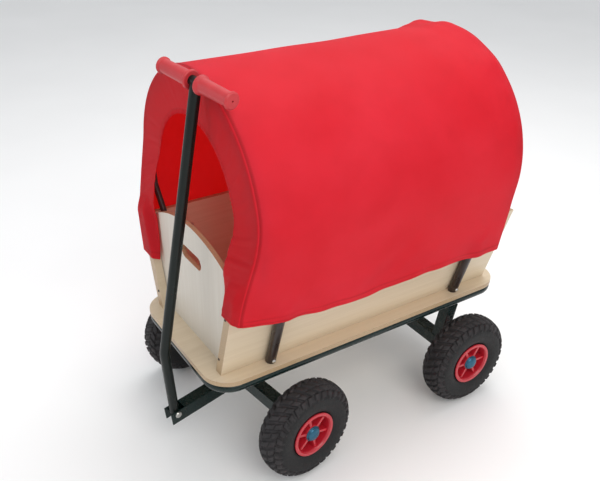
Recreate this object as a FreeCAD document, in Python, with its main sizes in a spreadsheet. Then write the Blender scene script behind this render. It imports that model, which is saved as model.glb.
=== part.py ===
"""A covered wooden hand wagon with a pull handle.

A plywood box with leaning sides stands on a rounded plywood deck, over a welded
tube frame on four pneumatic wheels. The front axle steers on a kingpin, and the
pull handle swings on a pin at the front of the drawbar. Two hoops carry a cloth
cover. The origin is on the ground under the middle of the deck, the front of the
wagon faces -Y, +X is on the right seen from the front, and +Z is up.
"""
import FreeCAD, Part
import math
import os

import Sketcher
from FreeCAD import Placement, Rotation, Vector

X_AXIS = Vector(1, 0, 0)
Y_AXIS = Vector(0, 1, 0)
Z_AXIS = Vector(0, 0, 1)
SIDES = (("right", 1), ("left", -1))
ENDS = (("front", -1), ("rear", 1))

# Driving dimensions, in millimetres and degrees.
DRIVING = [
    # wheels
    ("tyre_diameter", 260, "outside of a 3.00-4 pneumatic tyre"),
    ("tyre_width", 85, "across the sidewalls"),
    ("tyre_wall", 6, "rubber thickness"),
    ("bead_share", 0.7647, "width over the beads as a share of the tyre width"),
    ("rim_diameter", 122, "over the rim flanges"),
    ("rim_seat_diameter", 104, "where the tyre beads sit"),
    ("rim_width", 75, "over the rim flanges"),
    ("rim_wall", 5, "plastic thickness of rim and web"),
    ("rim_rib_count", 6, "ribs between hub and rim"),
    ("rib_thick", 7, "thickness of a rib"),
    ("rib_recess", 8, "ribs behind the face of the rim"),
    ("hub_diameter", 44, "plastic hub around the axle"),
    ("hub_width", 60, "length of the hub along the axle"),
    ("rod_diameter", 16, "steel axle rod"),
    ("rod_clearance", 0.05, "radial running clearance of a wheel on its rod"),
    ("rod_setback", 1, "rod end inside the hub cap"),
    ("cap_diameter", 40, "hub cap"),
    ("cap_height", 12, "hub cap dome"),
    # running gear
    ("track", 540, "between the middles of the two wheels of an axle"),
    ("front_overhang", 179.5, "kingpin behind the front edge of the deck"),
    ("rear_overhang", 171.5, "rear axle ahead of the rear edge of the deck"),
    ("beam_height", 35, "square axle beam"),
    ("beam_wall", 2.5, "axle beam and drawbar wall"),
    ("beam_end_plate", 8, "closing plate that holds the rod"),
    ("beam_gap", 4, "from a beam end to the hub beside it"),
    ("leg_width", 32, "square rear leg"),
    ("leg_wall", 2, "rear leg wall"),
    ("leg_foot_offset", 172, "rear leg middle on the axle beam"),
    ("leg_top_offset", 195, "rear leg middle at the frame"),
    # frame
    ("tyre_clearance", 8.5, "between tyre tops and frame"),
    ("frame_tube", 25, "frame ring tube and cross tubes"),
    ("frame_wall", 2, "frame tube wall"),
    ("frame_inset", 14, "ring centre line inside the deck edge"),
    ("cross_spacing", 110, "between the two front cross tubes"),
    # turntable and drawbar
    ("plate_side", 140, "pivot plate under the front cross tubes"),
    ("plate_thick", 4, "pivot plate and turntable plate"),
    ("turntable_diameter", 120, "turntable plate"),
    ("turntable_gap", 0.4, "between the two plates"),
    ("kingpin_diameter", 16, "kingpin shank"),
    ("kingpin_clearance", 0.05, "radial running clearance of the kingpin"),
    ("kingpin_head", 26, "kingpin head and nut across"),
    ("kingpin_head_height", 8, "kingpin head"),
    ("kingpin_nut_height", 10, "kingpin nut"),
    ("post_width", 45, "square post between turntable and axle beam"),
    ("steer_at_rest", 7.2, "steering turned to one side in the parked pose"),
    ("drawbar_reach", 210, "kingpin to handle pin"),
    ("drawbar_nose", 18, "fork past the handle pin"),
    ("drawbar_tilt", 6.5, "drawbar rising towards the axle"),
    ("fork_depth", 22, "fork slot behind the handle pin"),
    ("pin_diameter", 10, "handle pin"),
    ("pin_clearance", 0.05, "radial running clearance on the handle pin"),
    ("pin_head", 17, "handle pin head across"),
    ("pin_head_height", 5, "handle pin head"),
    ("pin_lift", 8, "handle pin above the drawbar middle line"),
    # pull handle
    ("sleeve_diameter", 20, "hinge sleeve on the handle pin"),
    ("sleeve_play", 0.5, "each side of the sleeve in the fork"),
    ("pole_diameter", 25, "pull pole"),
    ("pole_wall", 2, "pull pole wall"),
    ("pole_bend_ahead", 22, "pole bend ahead of the pin"),
    ("pole_bend_height", 206, "pole bend above the pin"),
    ("pole_bend_radius", 90, "pole bend"),
    ("grip_setback", 75, "grip bar behind the pin"),
    ("grip_over_cover", 16, "grip bar above the pin, beyond the rise from axle to cover top"),
    ("pole_side_lean", 4.65, "sideways lean of the parked pole"),
    ("grip_turn", 2.8, "grip bar turned about the pole"),
    ("grip_bar_diameter", 22, "tube through the grips"),
    ("grip_span", 236, "over both grips"),
    ("grip_diameter", 32, "grip body"),
    ("grip_flange_diameter", 42, "inner grip flange"),
    ("grip_cap_diameter", 37, "outer grip flange"),
    ("grip_flange_thick", 6, "grip flanges"),
    # box
    ("deck_length", 915, "plywood deck"),
    ("deck_width", 434, "plywood deck"),
    ("deck_thick", 12, "plywood deck"),
    ("deck_corner", 71, "deck corner radius"),
    ("panel_thick", 12, "plywood of the box"),
    ("side_setback", 34.5, "side panel ends inside the deck edges"),
    ("side_foot_offset", 176, "outer foot line of a side panel"),
    ("side_height", 242.5, "side panel above the deck"),
    ("side_lean", 16.7, "outward lean of the sides"),
    ("end_recess", 23, "end panel behind the side panel ends"),
    ("end_arch_radius", 420, "arched top of an end panel"),
    ("end_arch_height", 309, "top of the arch above the deck"),
    ("end_play", 1, "between an end panel and the side panels"),
    ("slot_length", 104, "hand slot"),
    ("slot_height", 34, "hand slot"),
    ("slot_rise", 227, "hand slot middle above the deck"),
    ("batten_width", 22, "corner batten"),
    ("batten_drop", 14, "batten top below the panel top"),
    # posts at the sides
    ("post_diameter", 25, "side post tube"),
    ("post_wall", 2, "side post wall"),
    ("post_top", 195, "side post top above the deck"),
    ("post_setback", 128, "side posts inside the ends of the side panel"),
    ("post_gap", 0.2, "between side post and panel"),
    ("bolt_diameter", 6, "bolts and screws"),
    ("bolt_head", 11, "bolt head across"),
    ("bolt_head_height", 3.5, "bolt head"),
    ("screw_head", 7, "batten screw head across"),
    ("screw_head_height", 2, "batten screw head"),
    ("post_bolt_low", 16, "lower post bolt above the deck"),
    ("post_bolt_high", 184, "upper post bolt above the deck, under the cover"),
    ("screw_low", 45, "lower batten screw above the deck"),
    ("screw_high", 180, "upper batten screw above the deck"),
    # hoops and cover
    ("hoop_tube", 16, "hoop rod"),
    ("hoop_cover_gap", 0.5, "between hoop and cover"),
    ("hoop_setback", 13, "hoop behind the edge of the cover"),
    ("hoop_leg_drop", 118, "hoop leg below the panel top"),
    ("hoop_rail_rise", 6, "hoop leg straight past the panel top"),
    ("hoop_knee_rise", 62, "hoop knee above the panel top"),
    ("hoop_knee_radius", 30, "hoop bends"),
    ("hoop_turn_in", 8, "hoop leaning in at the ends of its arc"),
    ("hoop_press", 0.02, "hoop legs pressed against the side panels"),
    ("cover_radius", 293, "outside of the barrel"),
    ("cover_centre_rise", 389.5, "barrel centre above the deck"),
    ("cover_thick", 2.5, "cloth with its hems"),
    ("cover_turn_in", 9, "lean of the side flaps"),
    ("cover_hem_rise", 148, "lowest part of the hem, above the deck"),
    ("cover_front_setback", 43, "front fold inside the end of the side panels"),
    ("cover_rear_setback", 49, "rear fold inside the end of the side panels"),
    ("flap_start_rise", 395, "where the front flap starts to flare, above the deck"),
    ("flap_bend_rise", 256, "where the flap passes the panel tops, above the deck"),
    ("flap_bend_ahead", 47, "front flap ahead of the front fold at the panel tops"),
    ("flap_corner_rise", 187, "front corner of the hem, above the deck"),
    ("flap_corner_ahead", 47, "front corner of the hem ahead of the front fold"),
    ("flap_bend_radius", 120, "bends of the front flap"),
    ("opening_radius", 190, "arched opening in each end of the cover"),
    ("opening_drop", 12, "middle of the arch below the barrel centre"),
    ("opening_foot", 158, "half width of the opening at the deck"),
    ("rim_foot_gap", 4, "end bands above the side panels"),
]

# Values that follow from the driving dimensions.
DERIVED = [
    ("axle_height", "=tyre_diameter / 2"),
    ("front_axle_ahead", "=deck_length / 2 - front_overhang"),
    ("rear_axle_behind", "=deck_length / 2 - rear_overhang"),
    ("side_length", "=deck_length - 2 * side_setback"),
    ("post_spacing", "=side_length - 2 * post_setback"),
    ("cover_front", "=side_length / 2 - cover_front_setback"),
    ("cover_rear", "=side_length / 2 - cover_rear_setback"),
    ("frame_bottom", "=tyre_diameter + tyre_clearance"),
    ("frame_middle", "=frame_bottom + frame_tube / 2"),
    ("deck_bottom", "=frame_bottom + frame_tube"),
    ("deck_top", "=deck_bottom + deck_thick"),
    ("panel_across", "=panel_thick / cos(side_lean)"),
    ("beam_length", "=track - hub_width - 2 * beam_gap"),
    ("beam_top", "=axle_height + beam_height / 2"),
    ("rod_length", "=track + hub_width - 2 * rod_setback"),
    ("pivot_plate_bottom", "=frame_bottom - plate_thick"),
    ("turntable_top", "=pivot_plate_bottom - turntable_gap"),
    ("turntable_bottom", "=turntable_top - plate_thick"),
    ("post_length", "=turntable_bottom - beam_top"),
    ("drawbar_pin_height", "=axle_height - drawbar_reach * tan(drawbar_tilt)"),
    ("pin_height", "=drawbar_pin_height + pin_lift"),
    ("fork_width", "=beam_height - 2 * beam_wall"),
    ("sleeve_length", "=fork_width - 2 * sleeve_play"),
    ("side_top", "=deck_top + side_height"),
    ("side_inner_foot", "=side_foot_offset - panel_across"),
    ("end_outer_face", "=side_length / 2 - end_recess"),
    ("cover_centre", "=deck_top + cover_centre_rise"),
    ("cover_top", "=cover_centre + cover_radius"),
    ("grip_height", "=cover_top - axle_height + grip_over_cover"),
    ("cover_hem", "=deck_top + cover_hem_rise"),
    ("hoop_radius", "=cover_radius - cover_thick - hoop_cover_gap - hoop_tube / 2"),
]

doc = FreeCAD.newDocument("covered_wagon")
sheet = doc.addObject("Spreadsheet::Sheet", "Sizes")
nodes = []


def fill_sheet():
    """Write every driving value as a plain number and every derived one as a formula."""
    row = 1
    for alias, number, note in DRIVING:
        sheet.set(f"A{row}", note)
        sheet.set(f"B{row}", str(number))
        sheet.setAlias(f"B{row}", alias)
        row += 1
    for alias, formula in DERIVED:
        sheet.set(f"B{row}", formula)
        sheet.setAlias(f"B{row}", alias)
        row += 1
    doc.recompute()


def size(alias):
    """The number that the sheet holds for an alias."""
    return float(getattr(sheet, alias))


def bind(target, **expressions):
    """Tie properties of an object to expressions over the sheet."""
    for name, expression in expressions.items():
        target.setExpression(name, expression)
    return target


def moved(x=0.0, y=0.0, z=0.0, rotation=None):
    return Placement(Vector(x, y, z), rotation or Rotation())


def turned(axis, angle):
    return Rotation(axis, angle)


def add_node(label, piece, placement=None):
    """Name a finished sub-part and put it where it belongs."""
    piece.Label = label
    if placement is not None:
        piece.Placement = placement
    nodes.append(piece)
    return piece


def box(length, width, height, placement=None):
    """A box with its middle at its own origin, then placed."""
    solid = doc.addObject("Part::Box", "box")
    bind(solid, Length=length, Width=width, Height=height)
    doc.recompute([solid])
    corner = moved(-solid.Length.Value / 2, -solid.Width.Value / 2, -solid.Height.Value / 2)
    solid.Placement = (placement or Placement()).multiply(corner)
    return solid


def cylinder(radius, height, placement=None):
    """A cylinder along its own Z, standing on its origin."""
    solid = doc.addObject("Part::Cylinder", "cylinder")
    bind(solid, Radius=radius, Height=height)
    if placement is not None:
        solid.Placement = placement
    return solid


def cut(base, *tools):
    """The base with each tool taken away in turn."""
    for tool in tools:
        result = doc.addObject("Part::Cut", "cut")
        result.Base = base
        result.Tool = tool
        base = result
    return base


def fuse(*pieces):
    result = doc.addObject("Part::MultiFuse", "fuse")
    result.Shapes = list(pieces)
    result.Refine = True
    return result


def shape_feature(name, shape):
    """A feature that carries a shape made with Part's own functions."""
    feature = doc.addObject("Part::Feature", name)
    feature.Shape = shape
    return feature


def origin_plane(body, role):
    for feature in body.Origin.OriginFeatures:
        if feature.Role == role:
            return feature
    raise ValueError(role)


def outline_sketch(body, points):
    """A closed outline of straight lines, each corner tied to two expressions."""
    sketch = body.newObject("Sketcher::SketchObject", "outline")
    sketch.AttachmentSupport = [(origin_plane(body, "XY_Plane"), "")]
    sketch.MapMode = "FlatFace"
    rough = rough_points(points)
    last = len(rough) - 1
    for index, start in enumerate(rough):
        end = rough[index + 1] if index < last else rough[0]
        sketch.addGeometry(Part.LineSegment(start, end), False)
    for index in range(len(rough)):
        following = index + 1 if index < last else 0
        sketch.addConstraint(Sketcher.Constraint("Coincident", index, 2, following, 1))
    for index, (across, along) in enumerate(points):
        for kind, expression, number in (
            ("DistanceX", across, rough[index].x),
            ("DistanceY", along, rough[index].y),
        ):
            place = sketch.addConstraint(
                Sketcher.Constraint(kind, -1, 1, index, 1, number)
            )
            sketch.setExpression(f"Constraints[{place}]", expression)
    return sketch


def rough_points(points):
    """The corners as numbers, read back from scratch cells of the sheet."""
    numbers = []
    for across, along in points:
        values = []
        for expression in (across, along):
            sheet.set("D1", "=" + expression.replace("Sizes.", ""))
            doc.recompute([sheet])
            values.append(float(sheet.get("D1")))
        numbers.append(Vector(values[0], values[1], 0))
    sheet.clear("D1")
    return numbers


def prism(points, depth):
    """A body with an outline in its XY plane, padded evenly both ways along Z."""
    body = doc.addObject("PartDesign::Body", "prism")
    sketch = outline_sketch(body, points)
    pad = body.newObject("PartDesign::Pad", "pad")
    pad.Profile = sketch
    pad.Midplane = True
    pad.setExpression("Length", depth)
    body.Tip = pad
    return body


def spun(points):
    """A body with an outline in its XY plane, turned once around its X axis."""
    body = doc.addObject("PartDesign::Body", "spun")
    sketch = outline_sketch(body, points)
    turn = body.newObject("PartDesign::Revolution", "turn")
    turn.Profile = sketch
    turn.ReferenceAxis = (sketch, ["H_Axis"])
    turn.Angle = 360
    body.Tip = turn
    return body


# An outline drawn in XY stands up in XZ with this turn: its Y becomes Z.
UPRIGHT = Rotation(X_AXIS, 90)


def facing(side):
    """Stand an outline up in XZ, on the right or mirrored to the left by a half turn."""
    return UPRIGHT if side > 0 else turned(Z_AXIS, 180).multiply(UPRIGHT)


def square_tube(length, width, wall, placement=None):
    """A square tube along X with open ends."""
    outer = box(length, width, width, placement)
    inner = box(f"{length} + 2", f"{width} - 2 * {wall}", f"{width} - 2 * {wall}", placement)
    return cut(outer, inner)


def rounded_path(points, radius, closed=False):
    """Straight runs through points, joined by tangent arcs."""
    edges = []
    count = len(points)
    corners = range(count) if closed else range(1, count - 1)
    trimmed = {}
    for index in corners:
        corner = points[index]
        back = (points[index - 1] - corner).normalize()
        ahead = (points[(index + 1) % count] - corner).normalize()
        half = back.getAngle(ahead) / 2
        reach = radius / math.tan(half)
        start = corner + back * reach
        end = corner + ahead * reach
        inward = (back + ahead).normalize()
        middle = corner + inward * (radius / math.sin(half) - radius)
        trimmed[index] = (start, middle, end)
    for index in range(count if closed else count - 1):
        following = (index + 1) % count
        start = trimmed[index][2] if index in trimmed else points[index]
        end = trimmed[following][0] if following in trimmed else points[following]
        edges.append(Part.LineSegment(start, end).toShape())
        if following in trimmed:
            edges.append(Part.Arc(*trimmed[following]).toShape())
    return edges


def swept_tube(edges, diameter, wall=0.0):
    """A round tube, or a rod where the wall is nothing, along a path."""
    path = Part.Wire(Part.__sortEdges__(edges))
    start = path.OrderedEdges[0]
    point = start.valueAt(start.FirstParameter)
    along = start.tangentAt(start.FirstParameter)

    def pipe(radius):
        ring = Part.Wire(Part.makeCircle(radius, point, along))
        return path.makePipeShell([ring], True, True)

    solid = pipe(diameter / 2)
    if wall:
        solid = solid.cut(pipe(diameter / 2 - wall))
    return solid


def steered():
    """The frame of the front axle, turned as it is parked."""
    return moved(y=-size("front_axle_ahead"), rotation=turned(Z_AXIS, size("steer_at_rest")))


def handle_frame():
    """The frame of the handle pin, on the drawbar."""
    return steered().multiply(moved(y=-size("drawbar_reach"), z=size("pin_height")))


def leaning_frame():
    """The frame of the pole, leaning to one side of the handle pin."""
    return handle_frame().multiply(moved(rotation=turned(Y_AXIS, size("pole_side_lean"))))


def side_shift(rise):
    """How far a leaning side has moved out at a height above the deck."""
    return rise * math.tan(math.radians(size("side_lean")))


# ---------------------------------------------------------------- frame


def ring_path():
    """The centre line of the frame ring."""
    half_width = size("deck_width") / 2 - size("frame_inset")
    half_length = size("deck_length") / 2 - size("frame_inset")
    height = size("frame_middle")
    corners = [
        Vector(half_width, -half_length, height),
        Vector(half_width, half_length, height),
        Vector(-half_width, half_length, height),
        Vector(-half_width, -half_length, height),
    ]
    return rounded_path(corners, size("deck_corner") - size("frame_inset"), closed=True)


def make_frame():
    """The ring under the deck edge and the square tubes across it."""
    ring = swept_tube(ring_path(), size("frame_tube"), size("frame_wall"))
    add_node("frame_ring", shape_feature("frame_ring", ring))

    outside = shape_feature("ring_outside", swept_tube(ring_path(), size("frame_tube")))
    places = {
        "cross_tube_front": -size("front_axle_ahead") - size("cross_spacing") / 2,
        "cross_tube_middle": -size("front_axle_ahead") + size("cross_spacing") / 2,
        "cross_tube_rear": size("rear_axle_behind"),
    }
    span = "(Sizes.deck_width - 2 * Sizes.frame_inset)"
    for label, place in places.items():
        tube = square_tube(
            span, "Sizes.frame_tube", "Sizes.frame_wall", moved(y=place, z=size("frame_middle"))
        )
        add_node(label, cut(tube, outside))


def make_rear_undercarriage():
    """The fixed rear axle on two square legs that lean in towards the ground."""
    rear = size("rear_axle_behind")
    add_node("rear_axle_beam", axle_beam(), moved(y=rear, z=size("axle_height")))
    add_node("rear_axle_rod", axle_rod(), moved(y=rear, z=size("axle_height")))
    for name, side in SIDES:
        outer = prism(leg_outline("Sizes.leg_width / 2"), "Sizes.leg_width")
        inner = prism(
            leg_outline("(Sizes.leg_width / 2 - Sizes.leg_wall)"),
            "(Sizes.leg_width - 2 * Sizes.leg_wall)",
        )
        add_node(f"rear_leg_{name}", cut(outer, inner), moved(y=rear, rotation=facing(side)))


def leg_outline(half):
    """A rear leg seen from behind, as wide as twice the half width."""
    foot = "Sizes.leg_foot_offset"
    top = "Sizes.leg_top_offset"
    return [
        (f"{foot} - {half}", "Sizes.beam_top"),
        (f"{foot} + {half}", "Sizes.beam_top"),
        (f"{top} + {half}", "Sizes.frame_bottom"),
        (f"{top} - {half}", "Sizes.frame_bottom"),
    ]


def axle_beam():
    """A square beam along X, closed by plates that hold the axle rod."""
    outer = box("Sizes.beam_length", "Sizes.beam_height", "Sizes.beam_height")
    inner = box(
        "Sizes.beam_length - 2 * Sizes.beam_end_plate",
        "Sizes.beam_height - 2 * Sizes.beam_wall",
        "Sizes.beam_height - 2 * Sizes.beam_wall",
    )
    bore = cylinder("Sizes.rod_diameter / 2", "Sizes.beam_length + 2")
    bore.Placement = moved(x=-size("beam_length") / 2 - 1, rotation=turned(Y_AXIS, 90))
    return cut(outer, inner, bore)


def axle_rod():
    """A steel rod along X with chamfered ends."""
    return spun(
        [
            ("-Sizes.rod_length / 2", "0"),
            ("Sizes.rod_length / 2", "0"),
            ("Sizes.rod_length / 2", "Sizes.rod_diameter / 2 - 1"),
            ("Sizes.rod_length / 2 - 1", "Sizes.rod_diameter / 2"),
            ("-Sizes.rod_length / 2 + 1", "Sizes.rod_diameter / 2"),
            ("-Sizes.rod_length / 2", "Sizes.rod_diameter / 2 - 1"),
        ]
    )


# ---------------------------------------------------------------- steering


def make_turntable():
    ahead = -size("front_axle_ahead")
    plate = box("Sizes.plate_side", "Sizes.plate_side", "Sizes.plate_thick")
    hole = cylinder("Sizes.kingpin_diameter / 2 + Sizes.kingpin_clearance", "Sizes.plate_thick + 2")
    hole.Placement = moved(z=-size("plate_thick") / 2 - 1)
    add_node(
        "pivot_plate",
        cut(plate, hole),
        moved(y=ahead, z=size("pivot_plate_bottom") + size("plate_thick") / 2),
    )
    disc = cylinder("Sizes.turntable_diameter / 2", "Sizes.plate_thick")
    bore = cylinder("Sizes.kingpin_diameter / 2", "Sizes.plate_thick + 2", moved(z=-1))
    on_plate = steered().multiply(moved(z=size("turntable_bottom")))
    add_node("turntable_plate", cut(disc, bore), on_plate)

    shank = "(Sizes.turntable_gap + 2 * Sizes.plate_thick)"
    pin = spun(
        [
            ("-Sizes.kingpin_head_height", "0"),
            (f"{shank} + Sizes.kingpin_nut_height + 2", "0"),
            (f"{shank} + Sizes.kingpin_nut_height + 2", "Sizes.kingpin_diameter / 2 - 1"),
            (f"{shank} + Sizes.kingpin_nut_height + 1", "Sizes.kingpin_diameter / 2"),
            ("0", "Sizes.kingpin_diameter / 2"),
            ("0", "Sizes.kingpin_head / 2"),
            ("-Sizes.kingpin_head_height", "Sizes.kingpin_head / 2"),
        ]
    )
    add_node("kingpin", pin, on_plate.multiply(moved(rotation=turned(Y_AXIS, -90))))

    nut = doc.addObject("Part::Prism", "nut")
    nut.Polygon = 6
    bind(
        nut,
        Circumradius="Sizes.kingpin_head / 2",
        Height="Sizes.kingpin_nut_height - 2 * Sizes.turntable_gap",
    )
    nut_bore = cylinder("Sizes.kingpin_diameter / 2", "Sizes.kingpin_nut_height + 2", moved(z=-1))
    nut_place = moved(z=size("frame_bottom") + size("turntable_gap"))
    add_node("kingpin_nut", cut(nut, nut_bore), steered().multiply(nut_place))

    post = square_tube("Sizes.post_length", "Sizes.post_width", "Sizes.beam_wall")
    middle = size("beam_top") + size("post_length") / 2
    stand = moved(z=middle, rotation=turned(Y_AXIS, 90))
    add_node("steering_post", post, steered().multiply(stand))


def make_front_axle():
    on_axle = steered().multiply(moved(z=size("axle_height")))
    add_node("front_axle_beam", axle_beam(), on_axle)
    add_node("front_axle_rod", axle_rod(), on_axle)


def make_drawbar():
    """A square tube from the axle beam forward, its front end open as a fork."""
    tilt = math.radians(size("drawbar_tilt"))
    reach = size("drawbar_reach") + size("drawbar_nose")
    middle = moved(
        y=-reach / 2, z=-reach / 2 * math.tan(tilt), rotation=turned(X_AXIS, size("drawbar_tilt"))
    )
    outer = box("Sizes.beam_height", f"{reach / math.cos(tilt)}", "Sizes.beam_height", middle)
    inner = box("Sizes.fork_width", f"{reach / math.cos(tilt) + 2}", "Sizes.fork_width", middle)
    beam = box("Sizes.beam_length", "Sizes.beam_height", "3 * Sizes.beam_height")
    pin_rise = size("pin_height") - size("axle_height")
    slot_length = size("fork_depth") + 2 * size("drawbar_nose")
    slot_middle = size("drawbar_reach") - size("fork_depth") + slot_length / 2
    slot = box(
        "Sizes.fork_width",
        "Sizes.fork_depth + 2 * Sizes.drawbar_nose",
        "3 * Sizes.beam_height",
        moved(y=-slot_middle, z=pin_rise),
    )
    hole_start = moved(-size("beam_height") / 2 - 1, -size("drawbar_reach"), pin_rise)
    hole = cylinder(
        "Sizes.pin_diameter / 2",
        "Sizes.beam_height + 2",
        hole_start.multiply(moved(rotation=turned(Y_AXIS, 90))),
    )
    bar = cut(outer, inner, beam, slot, hole)
    add_node("drawbar", bar, steered().multiply(moved(z=size("axle_height"))))

    half = "Sizes.beam_height / 2"
    pin = spun(
        [
            (f"-{half} - 3", "0"),
            (f"{half} + Sizes.pin_head_height", "0"),
            (f"{half} + Sizes.pin_head_height", "Sizes.pin_head / 2 - 1.5"),
            (f"{half} + Sizes.pin_head_height - 1.5", "Sizes.pin_head / 2"),
            (half, "Sizes.pin_head / 2"),
            (half, "Sizes.pin_diameter / 2"),
            (f"-{half}", "Sizes.pin_diameter / 2"),
            (f"-{half}", "Sizes.pin_diameter / 2 + 1.5"),
            (f"-{half} - 3", "Sizes.pin_diameter / 2"),
        ]
    )
    add_node("handle_pin", pin, handle_frame())


# ---------------------------------------------------------------- pull handle


def pole_points():
    """The pole from the pin past its bend to the grip bar, in its own frame."""
    return [
        Vector(0, 0, 0),
        Vector(0, -size("pole_bend_ahead"), size("pole_bend_height")),
        Vector(0, size("grip_setback"), size("grip_height")),
    ]


def make_pull_handle():
    sleeve_radius = size("sleeve_diameter") / 2
    sleeve = cylinder("Sizes.sleeve_diameter / 2", "Sizes.sleeve_length")
    bore = cylinder(
        "Sizes.pin_diameter / 2 + Sizes.pin_clearance", "Sizes.sleeve_length + 2", moved(z=-1)
    )
    along_pin = moved(x=-size("sleeve_length") / 2, rotation=turned(Y_AXIS, 90))
    add_node("hinge_sleeve", cut(sleeve, bore), handle_frame().multiply(along_pin))

    path = rounded_path(pole_points(), size("pole_bend_radius"))
    tube = swept_tube(path, size("pole_diameter"), size("pole_wall"))
    sleeve_room = Part.makeCylinder(sleeve_radius, 80, Vector(-40, 0, 0), X_AXIS)
    sleeve_room.rotate(Vector(), Y_AXIS, -size("pole_side_lean"))
    foot = Part.makeBox(200, 200, 100, Vector(-100, -100, -100))
    bar_room = Part.makeCylinder(size("grip_bar_diameter") / 2, 80, Vector(-40, 0, 0), X_AXIS)
    bar_room.rotate(Vector(), Z_AXIS, size("grip_turn"))
    bar_room.translate(pole_points()[2])
    head = Part.makeBox(100, 100, 100, pole_points()[2] - Vector(50, 50, 0))
    pole = tube.cut(sleeve_room).cut(foot).cut(bar_room).cut(head)
    add_node("pull_pole", shape_feature("pull_pole", pole), leaning_frame())

    top = Placement(pole_points()[2], turned(Z_AXIS, size("grip_turn")))
    grip_place = leaning_frame().multiply(top)
    bar = cylinder("Sizes.grip_bar_diameter / 2", "Sizes.grip_span - 8")
    bar_bore = cylinder(
        "Sizes.grip_bar_diameter / 2 - Sizes.pole_wall", "Sizes.grip_span + 2", moved(z=-1)
    )
    along_bar = moved(x=-size("grip_span") / 2 + 4, rotation=turned(Y_AXIS, 90))
    add_node("grip_bar", cut(bar, bar_bore), grip_place.multiply(along_bar))

    for name, side in SIDES:
        end = "Sizes.grip_span / 2"
        start = "Sizes.pole_diameter / 2 + 1.5"
        grip = spun(
            [
                (start, "Sizes.grip_bar_diameter / 2"),
                (f"{end} - 4", "Sizes.grip_bar_diameter / 2"),
                (f"{end} - 4", "2"),
                (end, "2"),
                (end, "Sizes.grip_cap_diameter / 2 - 3"),
                (f"{end} - 3", "Sizes.grip_cap_diameter / 2"),
                (f"{end} - Sizes.grip_flange_thick", "Sizes.grip_cap_diameter / 2"),
                (f"{end} - Sizes.grip_flange_thick - 3", "Sizes.grip_diameter / 2 - 0.5"),
                (f"{start} + Sizes.grip_flange_thick + 6", "Sizes.grip_diameter / 2 + 0.5"),
                (f"{start} + Sizes.grip_flange_thick", "Sizes.grip_flange_diameter / 2"),
                (f"{start} + 2", "Sizes.grip_flange_diameter / 2"),
                (start, "Sizes.grip_flange_diameter / 2 - 2"),
            ]
        )
        outward = Rotation() if side > 0 else turned(Z_AXIS, 180)
        add_node(f"grip_{name}", grip, grip_place.multiply(moved(rotation=outward)))


# ---------------------------------------------------------------- wheels


def tyre_section(half_width, outer, bead_radius):
    """Half of a round tyre section above the rim, as a face in the XY plane."""
    middle = (outer + bead_radius) / 2
    bead_half = half_width * size("bead_share")
    shoulder = outer - (outer - middle) * 0.30
    tread_half = half_width * 0.72
    crown = Part.Arc(
        Vector(-tread_half, outer - half_width * 0.10, 0),
        Vector(0, outer, 0),
        Vector(tread_half, outer - half_width * 0.10, 0),
    )
    edges = [crown.toShape()]
    for side in (1, -1):
        top = Vector(side * tread_half, outer - half_width * 0.10, 0)
        widest = Vector(side * half_width, middle, 0)
        bead = Vector(side * bead_half, bead_radius, 0)
        upper = Part.Arc(top, Vector(side * half_width * 0.95, shoulder, 0), widest)
        low_point = Vector(side * half_width * 0.92, (middle + bead_radius) / 2, 0)
        lower = Part.Arc(widest, low_point, bead)
        edges.append(upper.toShape())
        edges.append(lower.toShape())
    left = Vector(-bead_half, bead_radius, 0)
    right = Vector(bead_half, bead_radius, 0)
    edges.append(Part.LineSegment(left, right).toShape())
    return Part.Face(Part.Wire(Part.__sortEdges__(edges)))


def turned_solid(face):
    return face.revolve(Vector(), X_AXIS, 360)


def tyre_shape():
    """A hollow tyre with its beads against the rim, around its own X axis."""
    half = size("tyre_width") / 2
    outer = size("tyre_diameter") / 2
    bead = size("rim_seat_diameter") / 2
    wall = size("tyre_wall")
    carcass = turned_solid(tyre_section(half, outer, bead))
    hollow = turned_solid(tyre_section(half - wall, outer - wall, bead + wall))
    mouth_half = (half - wall) * size("bead_share") - wall
    mouth = Part.makeCylinder(bead + 2 * wall, 2 * mouth_half, Vector(-mouth_half, 0, 0), X_AXIS)
    room = Part.makeCylinder(size("rim_diameter") / 2, 400, Vector(-200, 0, 0), X_AXIS)
    inside_flanges = half * size("bead_share")
    kept = Part.makeCylinder(
        size("rim_diameter") / 2 + 1, 2 * inside_flanges, Vector(-inside_flanges, 0, 0), X_AXIS
    )
    return carcass.cut(hollow).cut(mouth).cut(room.cut(kept))


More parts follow.
